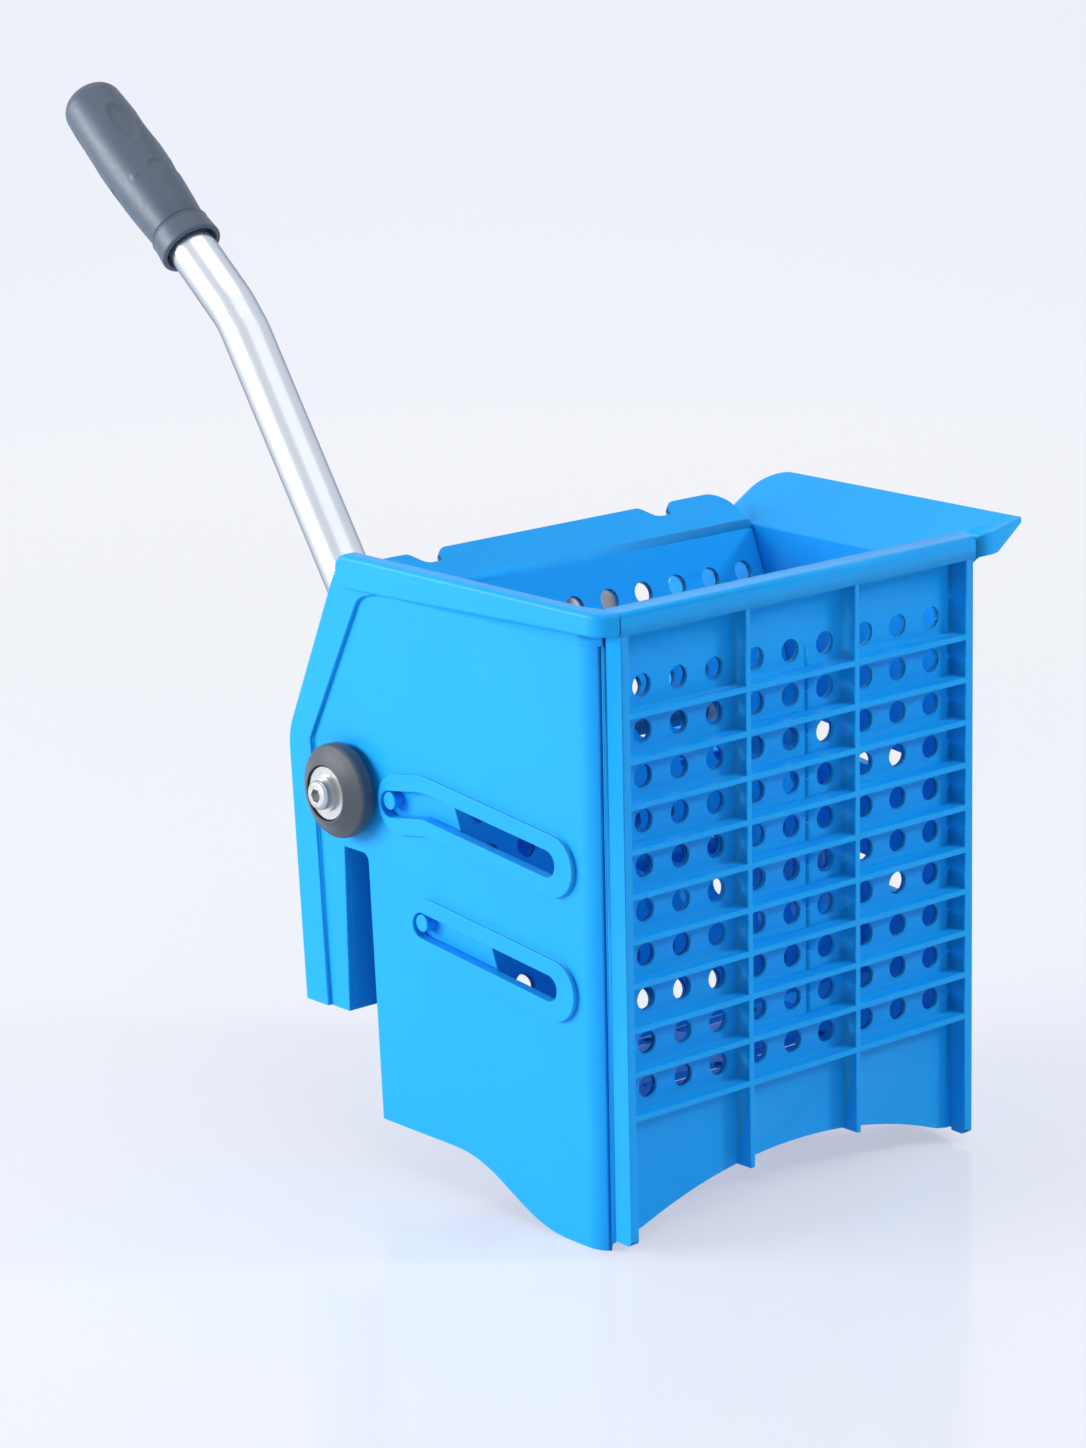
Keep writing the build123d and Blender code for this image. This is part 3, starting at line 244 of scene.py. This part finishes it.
WAVE_REPEAT = 2 * pi / 20  # the length after which a wave texture repeats, at a scale of 1


def turned_rings(skin, pitch_mm):
    """Rings about the pivot line, along X through PIVOT: waves of the distance from that line."""
    where = add(skin, "TexCoord", {}).outputs["Object"]
    centred = add(
        skin,
        "Mapping",
        {"Vector": where, "Location": (0.0, -float(PIVOT[0]), -float(PIVOT[1]))},
        vector_type="POINT",
    )
    rings = add(
        skin,
        "TexWave",
        {
            "Vector": centred.outputs["Vector"],
            "Scale": per(pitch_mm) * WAVE_REPEAT,
            "Distortion": 0.6,
            "Detail": 2.0,
            "Detail Scale": 1.5,
        },
        wave_type="RINGS",
        rings_direction="X",
    )
    return rings.outputs["Fac"]


def grey_nylon():
    """Glass-filled nylon, moulded and turned true: dark grey, dull, with faint lathe rings.

    The rings are about 0.3 mm apart in life and are drawn about 6.9 mm apart so that they show.
    """
    skin = fresh("nylon_turned_dark_grey")
    rings = turned_rings(skin, 6.91)
    where = add(skin, "TexCoord", {}).outputs["Object"]
    speck = add(skin, "TexNoise", {"Vector": where, "Scale": per(2.2), "Detail": 3.0, "Roughness": 0.6})
    tone = add(
        skin,
        "Mix",
        {0: speck.outputs["Fac"], 6: linear("#3C434C"), 7: linear("#4C535C")},
        data_type="RGBA",
    )
    gloss = add(skin, "MapRange", {"Value": rings, "To Min": 0.40, "To Max": 0.52})
    lathe = add(skin, "Bump", {"Height": rings, "Strength": 0.4, "Distance": 0.03 * MM})
    shader = add(
        skin,
        "BsdfPrincipled",
        {
            "Base Color": tone.outputs[2],
            "Roughness": gloss.outputs["Result"],
            "Normal": lathe.outputs["Normal"],
            "IOR": 1.53,
        },
    )
    add(skin, "OutputMaterial", {"Surface": shader.outputs["BSDF"]})
    return skin


def zinc_steel():
    """Steel, pressed and zinc plated: bright grey metal with a cloudy passivated bloom and rings of polish.

    The rings are hair fine in life and are drawn about 5.7 mm apart so that they show.
    """
    skin = fresh("steel_zinc_plated")
    rings = turned_rings(skin, 5.65)
    where = add(skin, "TexCoord", {}).outputs["Object"]
    bloom = add(skin, "TexNoise", {"Vector": where, "Scale": per(5), "Detail": 3.0, "Roughness": 0.55})
    tone = add(
        skin,
        "Mix",
        {0: bloom.outputs["Fac"], 6: linear("#B5B8B9"), 7: linear("#D0D2D2")},
        data_type="RGBA",
    )
    gloss = add(skin, "MapRange", {"Value": bloom.outputs["Fac"], "To Min": 0.22, "To Max": 0.40})
    polish = add(skin, "Bump", {"Height": rings, "Strength": 0.25, "Distance": 0.02 * MM})
    shader = add(
        skin,
        "BsdfPrincipled",
        {
            "Base Color": tone.outputs[2],
            "Metallic": 1.0,
            "Roughness": gloss.outputs["Result"],
            "Normal": polish.outputs["Normal"],
        },
    )
    add(skin, "OutputMaterial", {"Surface": shader.outputs["BSDF"]})
    return skin


def drawn_tube_steel():
    """Steel tube, drawn, polished and bright zinc plated: satin silver with soft streaks along its length.

    The streaks follow the tube's own UV map, whose U runs round the tube and V along it, both in metres.
    Draw lines are hair fine in life and are drawn about 1.4 mm wide so that they show.
    """
    skin = fresh("steel_tube_drawn_bright")
    run = add(skin, "UVMap", {}, uv_map="round_and_along").outputs["UV"]
    streak_way = add(skin, "Mapping", {"Vector": run, "Scale": (per(1.4), per(90), 1.0)})
    streak = add(skin, "TexNoise", {"Vector": streak_way.outputs["Vector"], "Scale": 1.0, "Detail": 2.0})
    where = add(skin, "TexCoord", {}).outputs["Object"]
    cloud = add(skin, "TexNoise", {"Vector": where, "Scale": per(35), "Detail": 2.0})
    tone = add(
        skin,
        "Mix",
        {0: cloud.outputs["Fac"], 6: linear("#E1E7ED"), 7: linear("#EBEFF3")},
        data_type="RGBA",
    )
    gloss = add(
        skin,
        "MapRange",
        {"Value": streak.outputs["Fac"], "From Min": 0.25, "From Max": 0.75, "To Min": 0.23, "To Max": 0.29},
    )
    lines = add(skin, "Bump", {"Height": streak.outputs["Fac"], "Strength": 0.15, "Distance": 0.005 * MM})
    shader = add(
        skin,
        "BsdfPrincipled",
        {
            "Base Color": tone.outputs[2],
            "Metallic": 1.0,
            "Roughness": gloss.outputs["Result"],
            "Specular Tint": linear("#8C97A8"),
            "Normal": lines.outputs["Normal"],
        },
    )
    add(skin, "OutputMaterial", {"Surface": shader.outputs["BSDF"]})
    return skin


def cast_alloy():
    """Aluminium alloy, die cast and tumbled: pale grey metal, matt, with a pebbled skin about 2 mm wide."""
    skin = fresh("aluminium_die_cast")
    where = add(skin, "TexCoord", {}).outputs["Object"]
    pebble = add(skin, "TexNoise", {"Vector": where, "Scale": per(2), "Detail": 3.0, "Roughness": 0.6})
    stain = add(skin, "TexNoise", {"Vector": where, "Scale": per(18), "Detail": 3.0})
    tone = add(
        skin,
        "Mix",
        {0: stain.outputs["Fac"], 6: linear("#A3A8AD"), 7: linear("#B9BEC2")},
        data_type="RGBA",
    )
    gloss = add(skin, "MapRange", {"Value": pebble.outputs["Fac"], "To Min": 0.42, "To Max": 0.62})
    rough = add(skin, "Bump", {"Height": pebble.outputs["Fac"], "Strength": 0.5, "Distance": 0.06 * MM})
    shader = add(
        skin,
        "BsdfPrincipled",
        {
            "Base Color": tone.outputs[2],
            "Metallic": 1.0,
            "Roughness": gloss.outputs["Result"],
            "Normal": rough.outputs["Normal"],
        },
    )
    add(skin, "OutputMaterial", {"Surface": shader.outputs["BSDF"]})
    return skin


def white_acetal():
    """Acetal, moulded and self-lubricating: milky white, a waxy sheen and faint flow clouds 12 mm wide."""
    skin = fresh("acetal_moulded_white")
    where = add(skin, "TexCoord", {}).outputs["Object"]
    cloud = add(skin, "TexNoise", {"Vector": where, "Scale": per(12), "Detail": 3.0})
    tone = add(
        skin,
        "Mix",
        {0: cloud.outputs["Fac"], 6: linear("#D8DBDC"), 7: linear("#E6E8E8")},
        data_type="RGBA",
    )
    gloss = add(skin, "MapRange", {"Value": cloud.outputs["Fac"], "To Min": 0.30, "To Max": 0.42})
    shader = add(
        skin,
        "BsdfPrincipled",
        {"Base Color": tone.outputs[2], "Roughness": gloss.outputs["Result"], "IOR": 1.48},
    )
    add(skin, "OutputMaterial", {"Surface": shader.outputs["BSDF"]})
    return skin


finishes = {
    "basket_blue": blue_polypropylene(),
    "bearing_white": white_acetal(),
    "cast_alloy": cast_alloy(),
    "lever_tube": drawn_tube_steel(),
    "grip_grey": grey_vinyl(),
    "collar_grey": grey_nylon(),
    "zinc_steel": zinc_steel(),
}
node_slots = {name: thing.material_slots[0].material.name for name, thing in nodes.items()}


def surface_piece(name, points, uv=None, close_round=True):
    """A grid of points (rows, columns, 3) as one mesh: a quad joins each cell's four corners.

    Columns run round and meet again when close_round holds. A UV map, where given, has a pair for each point.
    """
    rows, columns = points.shape[:2]
    row, column = np.meshgrid(np.arange(rows - 1), np.arange(columns - (not close_round)), indexing="ij")
    beside = (column + 1) % columns
    this_row, next_row = row * columns, (row + 1) * columns
    quads = np.stack((this_row + column, this_row + beside, next_row + beside, next_row + column), axis=-1)
    mesh = bpy.data.meshes.new(name)
    mesh.from_pydata(points.reshape(-1, 3).tolist(), [], quads.reshape(-1, 4).tolist())
    if uv is not None:
        layer = mesh.uv_layers.new(name="round_and_along")
        corners = np.zeros(len(mesh.loops), int)
        mesh.loops.foreach_get("vertex_index", corners)
        flat = uv.reshape(-1, 2)[corners]
        # the last column of cells runs on past the seam instead of back to the first column
        past_seam = np.repeat((column == columns - 1).ravel(), 4) & (corners % columns == 0)
        flat[past_seam, 0] += uv[0, 1, 0] * columns
        layer.data.foreach_set("uv", flat.ravel())
    mesh.shade_smooth()
    piece = bpy.data.objects.new(name, mesh)
    bpy.context.scene.collection.objects.link(piece)
    return piece


def lever_side(depth_height):
    """Points (..., 2) of depth and height in the tube's plane, as points (..., 3) at the lever's own X."""
    return np.concatenate((np.full((*depth_height.shape[:-1], 1), LEVER_X), depth_height), axis=-1)


def tube_line():
    """The tube's centre line and its leans: straight, round an arc of BEND_RADIUS, then straight on."""
    turn = UPPER_LEAN - LOWER_LEAN
    cut = BEND_RADIUS * np.tan(turn / 2)
    low = PIVOT + LOWER_WAY * np.linspace(TUBE_START, TUBE_BEND - cut, STRAIGHT_RINGS)[:, None]
    high = BEND + UPPER_WAY * np.linspace(cut, TUBE_END, STRAIGHT_RINGS)[:, None]
    lean = LOWER_LEAN + np.linspace(0, turn, BEND_RINGS + 2)[1:-1]
    way_in = np.stack((np.cos(lean), -np.sin(lean)), axis=-1)
    centre = low[-1] + BEND_RADIUS * np.array((cos(LOWER_LEAN), -sin(LOWER_LEAN)))
    arc = centre - BEND_RADIUS * way_in
    line = np.concatenate((low, arc, high))
    straight = np.ones(STRAIGHT_RINGS)
    leans = np.concatenate((LOWER_LEAN * straight, lean, UPPER_LEAN * straight))
    return line, leans


def swept_rings(line, leans, radius, squeeze):
    """Circles carried along a line: centre + radius (cos a X + sin a side), side squeezed at the bend."""
    angle = np.linspace(0, 2 * pi, TUBE_SIDES, endpoint=False)
    side = np.stack((np.cos(leans), -np.sin(leans)), axis=-1)
    spread = radius * np.sin(angle)[None, :] * (1 - squeeze)[:, None]
    ring = lever_side(line)[:, None, :] + np.zeros((1, len(angle), 1))
    ring[..., 0] += radius * np.cos(angle)
    ring[..., 1] += spread * side[:, None, 0]
    ring[..., 2] += spread * side[:, None, 1]
    return ring, angle


def lever_tube():
    """The lever's tube: outer rings up its line, then back down its bore, so the wall is closed at both ends.

    The bend is pressed slightly oval: squeeze = BEND_OVAL sin(pi t) squared, t from 0 to 1 along the arc.
    """
    line, leans = tube_line()
    along = np.concatenate(([0.0], np.cumsum(np.linalg.norm(np.diff(line, axis=0), axis=1))))
    bent = (leans - leans.min()) / (leans.max() - leans.min())
    squeeze = BEND_OVAL * np.sin(pi * bent) ** 2
    outer, angle = swept_rings(line, leans, TUBE_RADIUS, squeeze)
    inner, _ = swept_rings(line, leans, TUBE_BORE, squeeze)
    points = np.concatenate((outer, inner[::-1], outer[:1]))
    lengths = np.concatenate((along, along[::-1], along[:1]))
    uv = np.stack(np.broadcast_arrays(angle[None, :] * TUBE_RADIUS, lengths[:, None]), axis=-1).copy()
    piece = surface_piece("bent_lever_tube", points, uv)
    tidy(piece)
    return piece


def grip_dents(along, angle):
    """How far the grip's skin stands out or in, from its distance to the middle of each dent or nub.

    Each one is an oval: q is the root of (distance along / half length) squared plus (distance round / half
    width) squared. The skin goes to the full depth up to q of 1 - DENT_EASE, and eases back to none at 1.
    """
    total = np.zeros(np.broadcast_shapes(along.shape, angle.shape))
    for turn, from_end, half_length, half_width, depth in GRIP_OVALS:
        round_by = (np.degrees(angle) - turn + 180) % 360 - 180
        q = np.hypot((GRIP_LENGTH - along - from_end * MM) / (half_length * MM),
                     np.radians(round_by) * GRIP_RADIUS / (half_width * MM))
        ease = np.clip((1 - q) / DENT_EASE, 0, 1)
        total = total + depth * MM * ease * ease * (3 - 2 * ease)
    return total


def barrel_radius(along):
    """The barrel's radius: the end radius, plus the swell times 1 minus the squared share from its middle."""
    middle = (BARREL_START + GRIP_LENGTH) / 2
    return GRIP_RADIUS + GRIP_SWELL * (1 - ((along - middle) / (GRIP_LENGTH - middle)) ** 2)


def lever_grip():
    """The grip: a profile of length and radius turned about the tube's upper run, with dents pressed in.

    The profile runs from the rounded top down the barrel to a thin groove, out over the flared ring with its
    bead, in across the ring's lower face, and up the bore to its blind end.
    """
    angle = np.linspace(0, 2 * pi, GRIP_SIDES, endpoint=False)
    turn = np.linspace(0, pi / 2, DOME_RINGS)
    barrel = np.linspace(GRIP_LENGTH - GRIP_ROUND, BARREL_START, BARREL_RINGS)
    barrel = np.stack((barrel, barrel_radius(barrel)), axis=-1)
    shoulder = barrel[0, 1] - GRIP_ROUND
    rise = GRIP_LENGTH - GRIP_ROUND * (1 - np.cos(turn))
    dome = np.stack((rise, shoulder + GRIP_ROUND * np.sin(turn)), axis=-1)
    ring = MM * np.array(GRIP_RING)
    bore = np.array(((ring[-1, 0], GRIP_BORE), (BORE_END, GRIP_BORE), (BORE_END, 0.0)))
    profile = np.concatenate(([(GRIP_LENGTH, 0.0)], dome, barrel[1:], ring, bore))
    along, radius = profile[:, :1], profile[:, 1:]
    on_barrel = (along > BARREL_START) & (radius > GRIP_RADIUS - GRIP_ROUND / 2)
    skin = radius + np.where(on_barrel, grip_dents(along, angle), 0)
    side = np.array((cos(UPPER_LEAN), -sin(UPPER_LEAN)))
    middle = BEND + UPPER_WAY * (GRIP_START + along)
    points = np.zeros((*skin.shape, 3))
    points[..., 0] = LEVER_X + skin * np.cos(angle)
    points[..., 1:] = middle[:, None, :] + (skin * np.sin(angle))[..., None] * side
    piece = surface_piece("dented_lever_grip", points)
    tidy(piece)
    return piece


SEAM_MERGE = 1e-7


def tidy(piece):
    """Merges the points that meet at seams and turns every face outward."""
    work = bmesh.new()
    work.from_mesh(piece.data)
    bmesh.ops.remove_doubles(work, verts=work.verts, dist=SEAM_MERGE)
    bmesh.ops.recalc_face_normals(work, faces=work.faces)
    work.to_mesh(piece.data)
    work.free()


def stands_for(piece, node):
    """The piece takes its CAD node's place, body, slot and finish."""
    slot = node_slots[node]
    piece.data.materials.clear()
    piece.data.materials.append(finishes[slot])
    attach(piece, nodes[node]["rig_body"])
    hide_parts(node)


for name, thing in nodes.items():
    for place in thing.material_slots:
        place.material = finishes[node_slots[name]]

stands_for(lever_tube(), "lever_tube")
stands_for(lever_grip(), "lever_grip")

SEAM_X = 131.5 * MM  # where the front wall meets the side panels
ON_SEAM = 0.05 * MM
SOLID_MERGE = 2e-6
FLAT_TURN = radians(0.3)  # faces that turn by less than this are one
SHARP_TURN = radians(30.0)  # edges that turn by more than this are eased
HOLE_EDGE = 3.0 * MM  # longer than any edge round a hole


def softened(node, radius, shortest=0.0):
    """A moulding with its corners eased: a copy of a CAD solid, merged, with flat faces made whole, bevelled.

    An edge is eased where its two faces turn away from each other by more than SHARP_TURN, except along the
    seams at SEAM_X, where two mouldings lie flush, and except edges under the shortest length, as at a hole.
    """
    work = bmesh.new()
    work.from_mesh(nodes[node].data)
    bmesh.ops.remove_doubles(work, verts=work.verts, dist=SOLID_MERGE)
    bmesh.ops.dissolve_limit(work, angle_limit=FLAT_TURN, verts=work.verts, edges=work.edges)
    mesh = bpy.data.meshes.new(node + "_moulding")
    work.to_mesh(mesh)
    work.free()
    points = np.zeros(len(mesh.vertices) * 3)
    mesh.vertices.foreach_get("co", points)
    points = points.reshape(-1, 3)
    normals = np.zeros(len(mesh.polygons) * 3)
    mesh.polygons.foreach_get("normal", normals)
    normals = normals.reshape(-1, 3)
    counts = np.zeros(len(mesh.polygons), int)
    mesh.polygons.foreach_get("loop_total", counts)
    corner_edge, corner_point = np.zeros((2, len(mesh.loops)), int)
    mesh.loops.foreach_get("edge_index", corner_edge)
    mesh.loops.foreach_get("vertex_index", corner_point)
    face = np.repeat(np.arange(len(counts)), counts)
    start = np.repeat(np.cumsum(counts) - counts, counts)
    after = start + (np.arange(len(face)) - start + 1) % counts[face]
    one, other = np.argsort(corner_edge, kind="stable").reshape(-1, 2).T
    here, there = points[corner_point[one]], points[corner_point[after[one]]]
    out_one, out_other = normals[face[one]], normals[face[other]]
    turned = (out_one * out_other).sum(axis=1) < cos(SHARP_TURN)
    stands_out = (np.cross(out_one, out_other) * (there - here)).sum(axis=1) > 0
    from_seam = np.abs(np.abs(np.stack((here, there))[..., 0]) - SEAM_X)
    on_seam = (from_seam < ON_SEAM).all(axis=0)
    long_enough = np.linalg.norm(there - here, axis=1) > shortest
    eased = turned & stands_out & ~on_seam & long_enough
    weight = mesh.attributes.new("bevel_weight_edge", "FLOAT", "EDGE")
    weight.data.foreach_set("value", eased.astype(np.float32))
    mesh.shade_smooth()
    piece = bpy.data.objects.new(node + "_moulding", mesh)
    bpy.context.scene.collection.objects.link(piece)
    bevel = piece.modifiers.new("eased_corners", "BEVEL")
    bevel.limit_method = "WEIGHT"
    bevel.width = radius
    bevel.segments = 2
    bevel.use_clamp_overlap = False
    level_shading = piece.modifiers.new("level_shading", "WEIGHTED_NORMAL")
    level_shading.mode = "FACE_AREA"
    level_shading.weight = 80
    stands_for(piece, node)


softened("front_grille", 0.6 * MM, shortest=HOLE_EDGE)
softened("near_side_panel", 0.7 * MM)
softened("far_side_panel", 0.7 * MM)
softened("press_plate", 0.6 * MM, shortest=HOLE_EDGE)
softened("rear_beam", 0.7 * MM)
softened("drain_floor", 0.4 * MM, shortest=HOLE_EDGE)

# Camera: its place, turn and lens, fitted to the front ribs, the near rim and three round outlines.
AZIMUTH, ELEVATION, ROLL = radians(40.46), radians(14.52), radians(-1.22)
CAMERA_PLACE = (-1.61737, -1.89978, 0.69422)
LENS_MM, SENSOR_MM = 110.83, 36.0
ahead = Vector((sin(AZIMUTH) * cos(ELEVATION), cos(AZIMUTH) * cos(ELEVATION), -sin(ELEVATION)))
level = Vector((cos(AZIMUTH), -sin(AZIMUTH), 0.0))
upright = level.cross(ahead)
right = level * cos(ROLL) + upright * sin(ROLL)
top = upright * cos(ROLL) - level * sin(ROLL)
lens = bpy.data.cameras.new("camera")
lens.lens = LENS_MM
lens.sensor_width = SENSOR_MM
lens.clip_end = 50.0
camera = bpy.data.objects.new("camera", lens)
camera.matrix_world = Matrix(
    (
        (right.x, top.x, -ahead.x, CAMERA_PLACE[0]),
        (right.y, top.y, -ahead.y, CAMERA_PLACE[1]),
        (right.z, top.z, -ahead.z, CAMERA_PLACE[2]),
        (0.0, 0.0, 0.0, 1.0),
    )
)
bpy.context.scene.collection.objects.link(camera)
bpy.context.scene.camera = camera


# The stage in metres, along the view: its floor's ends, the sweep, the wall's heights and half its width.
FLOOR_START, FLOOR_END = -6.0, 2.2
SWEEP_RADIUS = 1.2
WALL_HEIGHTS = (2.5, 5.0)
STAGE_HALF = 5.0


def stage_sheet():
    """Floor and backdrop as one sheet: level, then a quarter circle, then upright, square to the view."""
    floor = cad_box[0][2]
    level_rows = np.linspace(FLOOR_START, FLOOR_END, 40)
    turn = np.linspace(0, pi / 2, 24)[1:]
    wall = np.full(len(WALL_HEIGHTS), FLOOR_END + SWEEP_RADIUS)
    depth = np.concatenate((level_rows, FLOOR_END + SWEEP_RADIUS * np.sin(turn), wall))
    height = np.concatenate((np.zeros(len(level_rows)), SWEEP_RADIUS * (1 - np.cos(turn)), WALL_HEIGHTS))
    across = np.linspace(-STAGE_HALF, STAGE_HALF, 30)
    forward = np.array((sin(AZIMUTH), cos(AZIMUTH)))
    sideways = np.array((cos(AZIMUTH), -sin(AZIMUTH)))
    points = np.zeros((len(depth), len(across), 3))
    points[..., :2] = depth[:, None, None] * forward + across[None, :, None] * sideways
    points[..., 2] = floor + height[:, None]
    return surface_piece("studio_floor", points, close_round=False)


# The floor's even glow, in metres: how far behind the basket and how high it is palest, and its reach.
GLOW_BEHIND, GLOW_HEIGHT, GLOW_REACH = 1.2, 0.3, 2.6
# The share of glow in the floor, close under the basket and far from it, and where the first one ends.
SHARE_CLOSE, SHARE_FAR, CLOSE_REACH = 0.52, 0.9, 0.15


def studio_floor():
    """Acrylic sheet, cast and polished: pale cool white, with a shallow mirror of what stands on it.

    To the camera it also glows evenly, paler behind the basket and cooler far out, as a lit sweep does.
    """
    skin = fresh("acrylic_sheet_pale")
    where = add(skin, "TexCoord", {}).outputs["Object"]
    away = add(
        skin,
        "VectorMath",
        {0: where, 1: (GLOW_BEHIND * sin(AZIMUTH), GLOW_BEHIND * cos(AZIMUTH), GLOW_HEIGHT)},
        operation="DISTANCE",
    )
    spread = add(
        skin,
        "MapRange",
        {"Value": away.outputs["Value"], "From Max": GLOW_REACH},
        interpolation_type="SMOOTHSTEP",
    )
    glow = add(
        skin,
        "Mix",
        {0: spread.outputs["Result"], 6: linear("#FBFCFF"), 7: linear("#EFF2FC")},
        data_type="RGBA",
    )
    lit = add(skin, "BsdfPrincipled", {"Base Color": linear("#E9EDF5"), "Roughness": 0.12, "IOR": 1.5})
    even = add(skin, "Emission", {"Color": glow.outputs[2]})
    rays = add(skin, "LightPath", {})
    seen = add(
        skin,
        "Math",
        {0: rays.outputs["Is Camera Ray"], 1: rays.outputs["Is Glossy Ray"]},
        operation="MAXIMUM",
    )
    near = add(skin, "VectorMath", {0: where, 1: (0.0, 0.0, cad_box[0][2])}, operation="DISTANCE")
    lift = add(
        skin,
        "MapRange",
        {
            "Value": near.outputs["Value"],
            "From Min": CLOSE_REACH,
            "From Max": GLOW_REACH,
            "To Min": SHARE_CLOSE,
            "To Max": SHARE_FAR,
        },
        interpolation_type="SMOOTHSTEP",
    )
    share = add(skin, "Math", {0: seen.outputs["Value"], 1: lift.outputs["Result"]}, operation="MULTIPLY")
    both = add(
        skin,
        "MixShader",
        {0: share.outputs["Value"], 1: lit.outputs["BSDF"], 2: even.outputs["Emission"]},
    )
    add(skin, "OutputMaterial", {"Surface": both.outputs["Shader"]})
    return skin


floor = stage_sheet()
floor.data.materials.append(studio_floor())


def softbox(name, place, size, power, aim=(0.0, 0.0, 0.08), glint=True):
    """A soft light at a place, turned to face the aim. Without glint it leaves no highlight on gloss."""
    lamp = bpy.data.lights.new(name, "AREA")
    lamp.shape = "RECTANGLE"
    lamp.size, lamp.size_y = size
    lamp.energy = power
    made = bpy.data.objects.new(name, lamp)
    way = Vector(aim) - Vector(place)
    made.matrix_world = Matrix.Translation(place) @ way.to_track_quat("-Z", "Y").to_matrix().to_4x4()
    made.visible_glossy = glint
    bpy.context.scene.collection.objects.link(made)


softbox("key_left", (-2.25, 1.35, 0.75), (2.2, 1.0), 82)
softbox("front_right", (1.82, -1.91, 1.28), (0.36, 0.36), 24, glint=False)
softbox("front_high", (0.1, -1.6, 2.1), (2.8, 2.0), 17, glint=False)
softbox("front_sheen", (0.1, -1.5, 1.97), (2.6, 1.7), 5.5)
softbox("overhead", (0.0, 0.4, 2.4), (2.2, 2.2), 13)

AIR_LIGHT = 0.23  # light on the object from all round
AIR_SHOWN = 0.62  # what the camera and gloss see on top of it
world = bpy.data.worlds.new("studio_air")
bpy.context.scene.world = world
world.use_nodes = True
world.node_tree.nodes.clear()
rays = add(world, "LightPath", {})
shown = add(
    world,
    "Math",
    {0: rays.outputs["Is Camera Ray"], 1: rays.outputs["Is Glossy Ray"]},
    operation="MAXIMUM",
)
power = add(world, "Math", {0: shown.outputs["Value"], 1: AIR_SHOWN, 2: AIR_LIGHT}, operation="MULTIPLY_ADD")
sky = add(world, "Background", {"Color": linear("#F2F5FC"), "Strength": power.outputs["Value"]})
add(world, "OutputWorld", {"Surface": sky.outputs["Background"]})

bpy.context.scene.view_settings.view_transform = "Standard"
bpy.context.view_layer.update()
